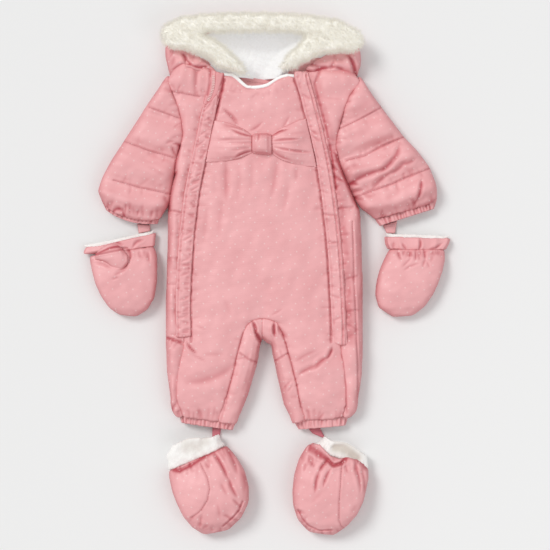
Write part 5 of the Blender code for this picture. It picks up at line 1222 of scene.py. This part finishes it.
# ---------------------------------------------------------------- pieces made by operators
def make_fur():
    """The fur trim: a tufted backing with strands that reach the solid's outline."""
    settings = bpy.context.scene.snowsuit
    obj = even_cloth("hood_fur", "hood_fur_backing", step=2.2, passes=6)
    places, normals = coordinates(obj.data)
    broad, fine = TUFT_SEEDS
    tufts = soft_noise(places[:, :2], 15, broad) + 0.6 * soft_noise(places[:, :2], 8, fine)
    # the backing lies 1.8 mm inside the solid, which leaves room for the strands
    places += normals * (-1.8 + 0.6 * tufts)[:, None]
    draw_over(places, "hood_fur")
    obj.data.vertices.foreach_set("co", (places * MM).ravel())
    obj.data.update()
    finish_piece(obj, "hood_fur", "fur")
    sizes = {"Density": settings.fur_density, "Length": settings.fur_length,
             "Width": settings.fur_width, "Lean": 0.5, "Tuft Size": 0.012,
             "Lowest Facing": -0.45, "Seed": FUR_SEED}
    tree = strand_tree("fur_strands", cloth_material("strand"))
    grown(obj.data.copy(), tree, sizes, "hood_fur_strands")


def make_nap():
    """Short loose fibres round the fleece that shows."""
    tree = strand_tree("nap_strands", cloth_material("nap"))
    for node, seed in NAP_SEEDS.items():
        sizes = {"Density": 120000.0, "Length": 0.0022, "Width": 0.0003, "Lean": 0.8,
                 "Tuft Size": 0.006, "Lowest Facing": -0.2, "Seed": seed}
        cloth = bpy.data.objects[node + "_cloth"].data
        grown(cloth.copy(), tree, sizes, node + "_nap")


def make_stitches():
    """Rows of topstitching laid along the seams and quilt lines."""
    pitch = bpy.context.scene.snowsuit.stitch_pitch
    sizes = {"Pitch": pitch, "Length": pitch * 0.7, "Width": 0.0007, "Seed": STITCH_SEED}
    tree = run_tree("stitch_run", cloth_material("thread"), box=False)
    lines = seated_lines("stitch_lines", STITCHED, lift=0.1)
    grown(lines, tree, sizes, "topstitching")


def make_zip_teeth():
    """The zip's moulded coil, where the right placket is folded open."""
    pieces = "zip_tape_right side_front_right front_body placket_right"
    sizes = {"Pitch": 0.0023, "Length": 0.0014, "Width": 0.0040, "Height": 0.0015,
             "Seed": TEETH_SEED}
    tree = run_tree("teeth_run", cloth_material("coil"), box=True)
    line = seated_lines("teeth_line", ((pieces, TEETH),), lift=0.3)
    grown(line, tree, sizes, "zip_teeth", smooth=False)


def hang_light(name, kind, power, tint, aim, place=(0, 0, 0)):
    """A light at a place that shines the way of aim."""
    light = bpy.data.lights.new(name, kind)
    light.energy = power
    light.color = tint
    obj = shown(name, light)
    obj.location = place
    obj.rotation_euler = Vector(aim).to_track_quat("-Z", "Y").to_euler()
    return light


def make_stage():
    """A pale plain floor, soft studio light from the upper left and the camera above."""
    scene = bpy.context.scene
    settings = scene.snowsuit
    mesh = bpy.data.meshes.new("floor")
    mesh.from_pydata([(x * FLOOR_REACH, y * FLOOR_REACH, 0)
                      for x, y in ((-1, -1), (1, -1), (1, 1), (-1, 1))], [], [(0, 1, 2, 3)])
    material, tree = new_material("pale_paper_backdrop")
    place = add(tree, "ShaderNodeTexCoord").outputs["Object"]
    grain = add(tree, "ShaderNodeTexNoise", {"Vector": place, "Scale": 60.0})
    tone = add(tree, "ShaderNodeMapRange", {"Value": grain.outputs["Fac"], "To Min": 0.93,
                                           "To Max": 0.95})
    end_material(tree, add(tree, "ShaderNodeBsdfPrincipled", {
        "Base Color": rgba(settings.floor_colour), "Roughness": tone.outputs[0],
        "Specular IOR Level": 0.1}))
    mesh.materials.append(material)
    floor = shown("floor", mesh)

    key = hang_light("key_light", "SUN", settings.key_power, (1.0, 0.995, 0.985),
                     (1.0, -0.85, -1.45))
    key.angle = math.radians(22)
    fill = hang_light("fill_light", "AREA", settings.fill_power, (0.98, 0.99, 1.0),
                      (-2.4, 1.8, -3.4), (2.4, -1.8, 3.4))
    fill.shape = "SQUARE"
    fill.size = 2.8
    scene.view_settings.view_transform = "Standard"
    scene.world = bpy.data.worlds.new("studio")
    scene.world.use_nodes = True
    sky = scene.world.node_tree.nodes["Background"].inputs
    sky["Color"].default_value = (1.0, 1.0, 1.0, 1.0)
    sky["Strength"].default_value = settings.sky

    camera = bpy.data.cameras.new("camera")
    camera.sensor_width = SENSOR
    camera.lens = SENSOR * (CAMERA_HEIGHT - SUIT_MIDDLE) / VIEW_WIDTH
    camera.clip_end = 20.0
    scene.camera = shown("camera", camera)
    scene.camera.location = (*VIEW_CENTRE, CAMERA_HEIGHT)


# ---------------------------------------------------------------- add-on
def colour(name, description, code):
    """A colour that a user can change."""
    return FloatVectorProperty(name=name, description=description, subtype="COLOR", size=3,
                               min=0.0, max=1.0, default=linear(code))


def distance(name, description, low, high, default):
    """A length in metres that a user can change."""
    return FloatProperty(name=name, description=description, subtype="DISTANCE", unit="LENGTH",
                         min=low, max=high, default=default)


class SNOWSUIT_PG_settings(bpy.types.PropertyGroup):
    """Sizes, colours and lights of the snowsuit."""

    shell_colour: colour("Shell", "Colour of the smooth pink cloth", "#F2B3B5")
    # the colour that painted shade in folds and on steep flanks goes towards, and the cloth's broad
    # mottle too
    painted_shade_and_mottle_colour: colour("Folds", "Deeper pink that the cloth takes in its folds", "#B8434F")
    dot_colour: colour("Dots", "Colour of the pin dots", "#FBE9E6")
    dot_spacing: distance("Dot spacing", "Distance between pin dots", 0.004, 0.05, 0.0135)
    dot_size: distance("Dot size", "Width of a pin dot", 0.0005, 0.01, 0.0023)
    fleece_colour: colour("Fleece", "Colour of the pile lining", "#F2F0EE")
    fur_colour: colour("Fur", "Colour of the faux fur trim", "#EFEDE7")
    fur_density: FloatProperty(
        name="Fur density", description="Strands per square metre of backing", min=0.0,
        default=550000.0)
    fur_length: distance("Fur length", "Length of a strand", 0.002, 0.04, 0.006)
    fur_width: distance("Fur width", "Thickness of a strand at its root", 0.0001, 0.003, 0.0003)
    crease_depth: FloatProperty(
        name="Crease depth", description="Scale of every crease and pucker", subtype="FACTOR",
        min=0.0, max=2.0, default=1.25)
    stitch_pitch: distance("Stitch pitch", "Distance from one stitch to the next",
                           0.001, 0.01, 0.0035)
    floor_colour: colour("Backdrop", "Colour of the floor it lies on", "#EFEFEF")
    key_power: FloatProperty(
        name="Key light", description="Strength of the main soft light", min=0.0, default=1.35)
    fill_power: FloatProperty(
        name="Fill light", description="Power of the soft light opposite", subtype="POWER",
        unit="POWER", min=0.0, default=22.0)
    sky: FloatProperty(
        name="Sky", description="Strength of the light from all round", min=0.0, default=0.6)


def dress_group(name):
    """Dresses each cut piece of a group, for the operator that makes it."""
    for node in GROUPS[name]:
        dress(node)
    return {"FINISHED"}


class SNOWSUIT_OT_body(bpy.types.Operator):
    """Makes the front, back, side and inner-leg panels."""

    bl_idname = "snowsuit.body"
    bl_label = "Body panels"

    def execute(self, context):
        return dress_group("body")


class SNOWSUIT_OT_plackets(bpy.types.Operator):
    """Makes both zip plackets, the bare zip tape and its teeth."""

    bl_idname = "snowsuit.plackets"
    bl_label = "Zip plackets"

    def execute(self, context):
        dress_group("plackets")
        make_zip_teeth()
        return {"FINISHED"}


class SNOWSUIT_OT_sleeves(bpy.types.Operator):
    """Makes the sleeves and their gathered cuffs."""

    bl_idname = "snowsuit.sleeves"
    bl_label = "Sleeves"

    def execute(self, context):
        return dress_group("sleeves")


class SNOWSUIT_OT_hood(bpy.types.Operator):
    """Makes the hood, its lining, the neck facing and the neck binding."""

    bl_idname = "snowsuit.hood"
    bl_label = "Hood"

    def execute(self, context):
        return dress_group("hood")


class SNOWSUIT_OT_fur(bpy.types.Operator):
    """Makes the faux fur trim round the hood."""

    bl_idname = "snowsuit.fur"
    bl_label = "Fur trim"

    def execute(self, context):
        make_fur()
        return {"FINISHED"}


class SNOWSUIT_OT_bow(bpy.types.Operator):
    """Makes the bow's two loops and its knot."""

    bl_idname = "snowsuit.bow"
    bl_label = "Bow"

    def execute(self, context):
        return dress_group("bow")


class SNOWSUIT_OT_leg_cuffs(bpy.types.Operator):
    """Makes the ankle cuffs and the tabs that hold the booties."""

    bl_idname = "snowsuit.leg_cuffs"
    bl_label = "Leg cuffs"

    def execute(self, context):
        return dress_group("leg_cuffs")


class SNOWSUIT_OT_mittens(bpy.types.Operator):
    """Makes the mittens with their bands, linings, thumb and tabs."""

    bl_idname = "snowsuit.mittens"
    bl_label = "Mittens"

    def execute(self, context):
        return dress_group("mittens")


class SNOWSUIT_OT_booties(bpy.types.Operator):
    """Makes the booties with their soles and fleece collars."""

    bl_idname = "snowsuit.booties"
    bl_label = "Booties"

    def execute(self, context):
        return dress_group("booties")


class SNOWSUIT_OT_sewing(bpy.types.Operator):
    """Lays the topstitching and the fleece's loose fibres."""

    bl_idname = "snowsuit.sewing"
    bl_label = "Sewing and nap"

    def execute(self, context):
        make_stitches()
        make_nap()
        return {"FINISHED"}


class SNOWSUIT_OT_stage(bpy.types.Operator):
    """Sets up the backdrop, the lights and the camera."""

    bl_idname = "snowsuit.stage"
    bl_label = "Stage"

    def execute(self, context):
        make_stage()
        return {"FINISHED"}


class SNOWSUIT_PT_panel(bpy.types.Panel):
    """Lists the sizes and colours and what makes each piece."""

    bl_idname = "SNOWSUIT_PT_panel"
    bl_label = "Baby snowsuit"
    bl_space_type = "VIEW_3D"
    bl_region_type = "UI"
    bl_category = "Snowsuit"

    def draw(self, context):
        column = self.layout.column(align=True)
        for item in SNOWSUIT_PG_settings.__annotations__:
            column.prop(context.scene.snowsuit, item)
        for kind in OPERATORS:
            column.operator(kind.bl_idname)


# In the order in which they run: sewing lies on finished cloth
OPERATORS = (SNOWSUIT_OT_body, SNOWSUIT_OT_plackets, SNOWSUIT_OT_sleeves, SNOWSUIT_OT_hood,
             SNOWSUIT_OT_fur, SNOWSUIT_OT_bow, SNOWSUIT_OT_leg_cuffs, SNOWSUIT_OT_mittens,
             SNOWSUIT_OT_booties, SNOWSUIT_OT_sewing, SNOWSUIT_OT_stage)
CLASSES = (SNOWSUIT_PG_settings, *OPERATORS, SNOWSUIT_PT_panel)


def register():
    """Registers the add-on's classes and its settings."""
    for kind in CLASSES:
        bpy.utils.register_class(kind)
    bpy.types.Scene.snowsuit = PointerProperty(type=SNOWSUIT_PG_settings)


def unregister():
    """Takes the settings and the classes out again."""
    del bpy.types.Scene.snowsuit
    for kind in reversed(CLASSES):
        bpy.utils.unregister_class(kind)


def main():
    """Makes the whole suit."""
    register()
    for kind in OPERATORS:
        getattr(bpy.ops.snowsuit, kind.bl_idname.split(".")[1])()


if __name__ == "__main__":
    main()
